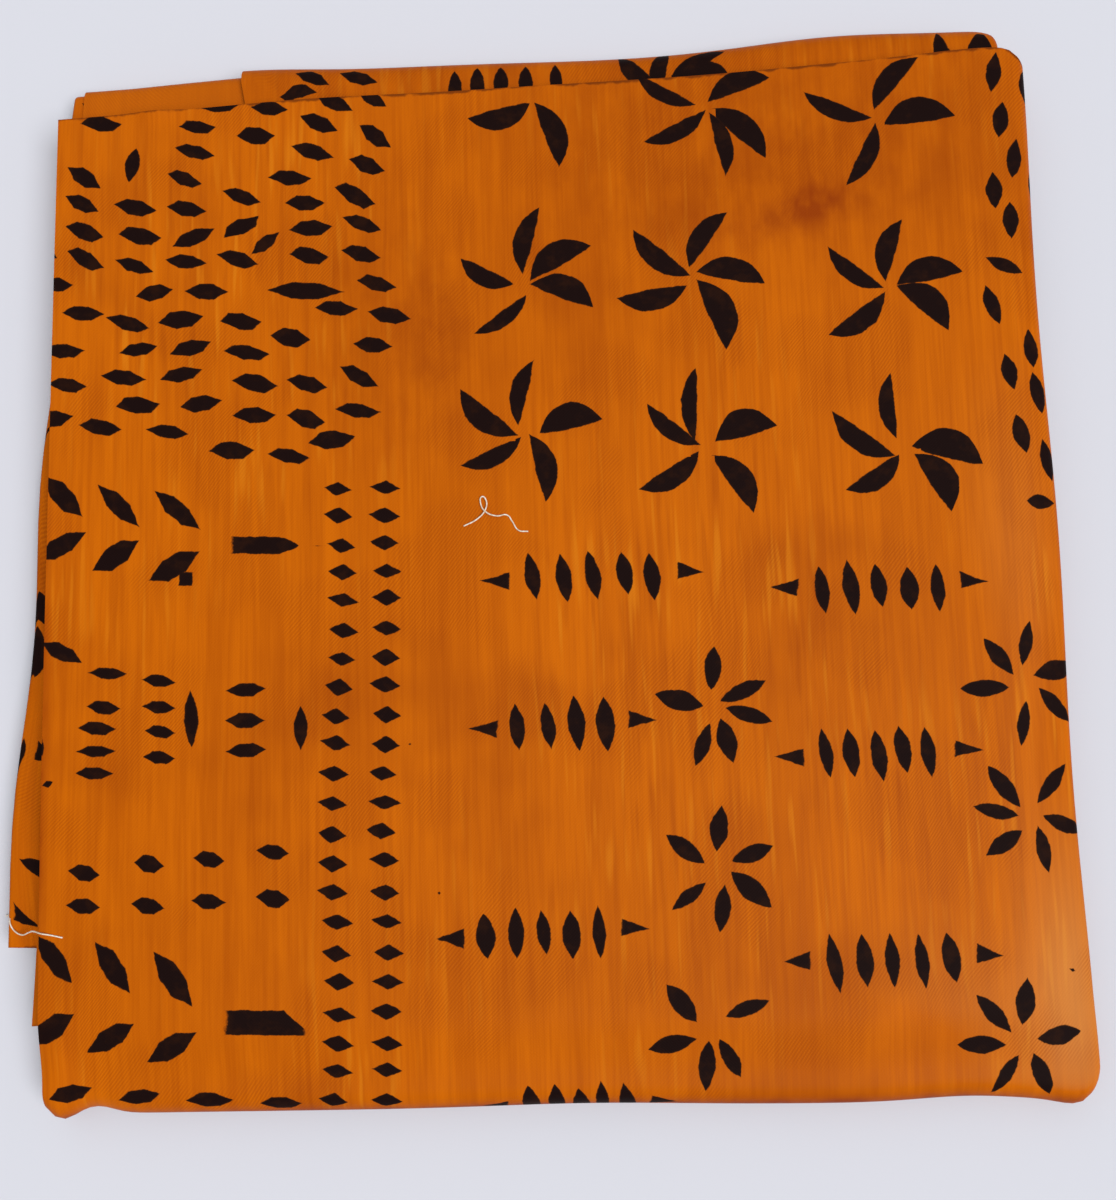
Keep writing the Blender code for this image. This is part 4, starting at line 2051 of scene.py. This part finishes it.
@dataclass
class Studio:
    """A pale floor, soft lights and the camera at the photograph's angle."""

    floor_size: float = 12.0
    floor_colour: Colour = (0.63, 0.64, 0.70, 1.0)
    floor_roughness: float = 0.9
    world_colour: Colour = (1.0, 1.0, 1.0, 1.0)
    world_strength: float = 0.36
    lights: tuple[SoftLight, ...] = (
        SoftLight("window_light", (0.42, -0.26, 0.87), 40.0, 2.55),
        SoftLight("room_light", (-0.30, 0.55, 0.78), 60.0, 0.35),
    )
    distance: float = 0.3702
    elevation: float = 82.73
    roll: float = -1.636
    aim: tuple[float, float, float] = (0.1428, 0.1389, 0.008)
    focal_pixels: float = 1298.8
    frame_pixels: tuple[int, int] = (1116, 1200)
    sensor_height: float = 24.0
    clip_start: float = 0.01

    def build(self, moved: Vector) -> None:
        """Lays the floor, hangs the lights and places the camera.

        Args:
            moved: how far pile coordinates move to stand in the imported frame.
        """
        self.lay_floor()
        self.hang_lights()
        self.place_camera(moved)

    def lay_floor(self) -> None:
        """A wide pale floor at the height that the cloth lies on."""
        bpy.ops.object.select_all(action="DESELECT")
        bpy.ops.mesh.primitive_plane_add(size=self.floor_size)
        floor = bpy.context.active_object
        floor.name = "pale_floor"
        material = bpy.data.materials.new("pale_floor")
        material.use_nodes = True
        shader = material.node_tree.nodes["Principled BSDF"]
        shader.inputs["Base Color"].default_value = self.floor_colour
        shader.inputs["Roughness"].default_value = self.floor_roughness
        floor.data.materials.append(material)
        floor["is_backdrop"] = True

    def hang_lights(self) -> None:
        """A large window light from the near right, and a weaker one from the far left."""
        world = bpy.data.worlds.new("pale_room")
        world.use_nodes = True
        background = world.node_tree.nodes["Background"]
        background.inputs["Color"].default_value = self.world_colour
        background.inputs["Strength"].default_value = self.world_strength
        bpy.context.scene.world = world
        for light in self.lights:
            data = bpy.data.lights.new(light.name, "SUN")
            data.angle = math.radians(light.spread)
            data.energy = light.power
            lamp = bpy.data.objects.new(light.name, data)
            lamp.location = light.place
            lamp.rotation_euler = (-Vector(light.place)).to_track_quat("-Z", "Y").to_euler()
            bpy.context.scene.collection.objects.link(lamp)

    def place_camera(self, moved: Vector) -> None:
        """Stands the camera where the photograph was taken from.

        Args:
            moved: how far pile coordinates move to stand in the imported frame.
        """
        high = math.radians(self.elevation)
        back = Vector((0.0, -math.cos(high), math.sin(high)))
        right = Vector((1.0, 0.0, 0.0))
        up = back.cross(right)
        lean = math.radians(self.roll)
        side = right * math.cos(lean) + up * math.sin(lean)
        top = up * math.cos(lean) - right * math.sin(lean)
        data = bpy.data.cameras.new("photo_camera")
        data.sensor_fit = "VERTICAL"
        data.sensor_height = self.sensor_height
        data.lens = self.focal_pixels * self.sensor_height / self.frame_pixels[1]
        data.clip_start = self.clip_start
        camera = bpy.data.objects.new("photo_camera", data)
        turned = Matrix((side, top, back)).transposed().to_4x4()
        turned.translation = Vector(self.aim) + moved + back * self.distance
        camera.matrix_world = turned
        bpy.context.scene.collection.objects.link(camera)
        bpy.context.scene.camera = camera
        bpy.context.scene.view_settings.view_transform = "Standard"


THREADS = (
    LintThread(
        "loose_thread_far",
        (
            (117.0, 132.0, 0.0),
            (121.0, 130.0, 0.3),
            (123.2, 127.5, 0.5),
            (123.4, 124.8, 0.4),
            (122.3, 123.8, 0.3),
            (121.9, 125.8, 0.2),
            (123.3, 128.2, 0.5),
            (126.3, 129.4, 0.3),
            (129.2, 129.2, 0.1),
            (130.6, 131.0, 0.0),
            (132.3, 133.6, 0.1),
            (135.0, 134.0, 0.0),
        ),
    ),
    LintThread(
        "loose_thread_side",
        (
            (6.8, 241.4, 0.0),
            (3.4, 240.6, 0.1),
            (1.4, 240.2, 0.4),
            (-1.8, 239.7, 6.2),
            (-4.6, 240.4, 3.4),
            (-7.6, 241.2, 1.2),
            (-10.2, 239.8, 0.3),
            (-11.2, 237.6, 0.4),
            (-12.4, 236.2, 0.8),
            (-15.6, 236.9, 0.6),
        ),
    ),
)


def packed_shift(cloth: FoldedCloth) -> Vector:
    """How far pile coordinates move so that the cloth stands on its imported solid.

    Args:
        cloth: the cloth, not yet built.

    Returns:
        The move, in metres.
    """
    points = cloth.folded_places[0].reshape(-1, 3)
    low, high = (Vector(corner) for corner in (points.min(axis=0), points.max(axis=0)))
    solid_low, solid_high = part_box(CLOTH_NODE)
    shift = (solid_low + solid_high) / 2 - (low + high) / 2
    shift.z = solid_low.z - low.z
    return shift


def printed_motifs(cloth: FoldedCloth, design: HandPrint) -> list[Motif]:
    """The whole print, where the strip's motifs take the place of the panels' own.

    Args:
        cloth: the cloth that it is on.
        design: the printed design.

    Returns:
        All motifs, in flat metres.
    """
    strip = design.strip(cloth.along_at)
    low = min(one.along for one in strip) - STRIP_CLEAR
    high = max(one.along for one in strip) + STRIP_CLEAR
    kept = [one for one in design.motifs() if one.across > cloth.band.width or
            not low < one.along < high]
    return kept + strip


def main() -> None:
    """Builds the cloth, its loose threads and the studio."""
    logging.basicConfig(level=logging.INFO, format="%(message)s")
    cloth = FoldedCloth()
    moved = packed_shift(cloth)
    log.info("pile moved by %s", [round(part, 5) for part in moved])
    motifs = printed_motifs(cloth, HandPrint())
    piece = cloth.build(moved, motifs)
    piece.data.materials.append(PrintedCotton().build())
    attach(piece, "root")
    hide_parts(CLOTH_NODE)
    log.info("%s: %d faces, %d motifs", piece.name, len(piece.data.polygons), len(motifs))
    tree = BVHTree.FromObject(piece, bpy.context.evaluated_depsgraph_get())
    fibre = LintFibre().build()
    for thread in THREADS:
        lint = thread.build(cloth.band, moved, tree, fibre)
        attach(lint, "root")
        log.info("%s: %d faces", lint.name, len(lint.data.polygons))
    Studio().build(moved)
    sizes = {"cad": CAD_BOUNDS, "visual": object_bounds()}
    {name: [list(corner) for corner in box] for name, box in sizes.items()}


if __name__ == "__main__":
    main()
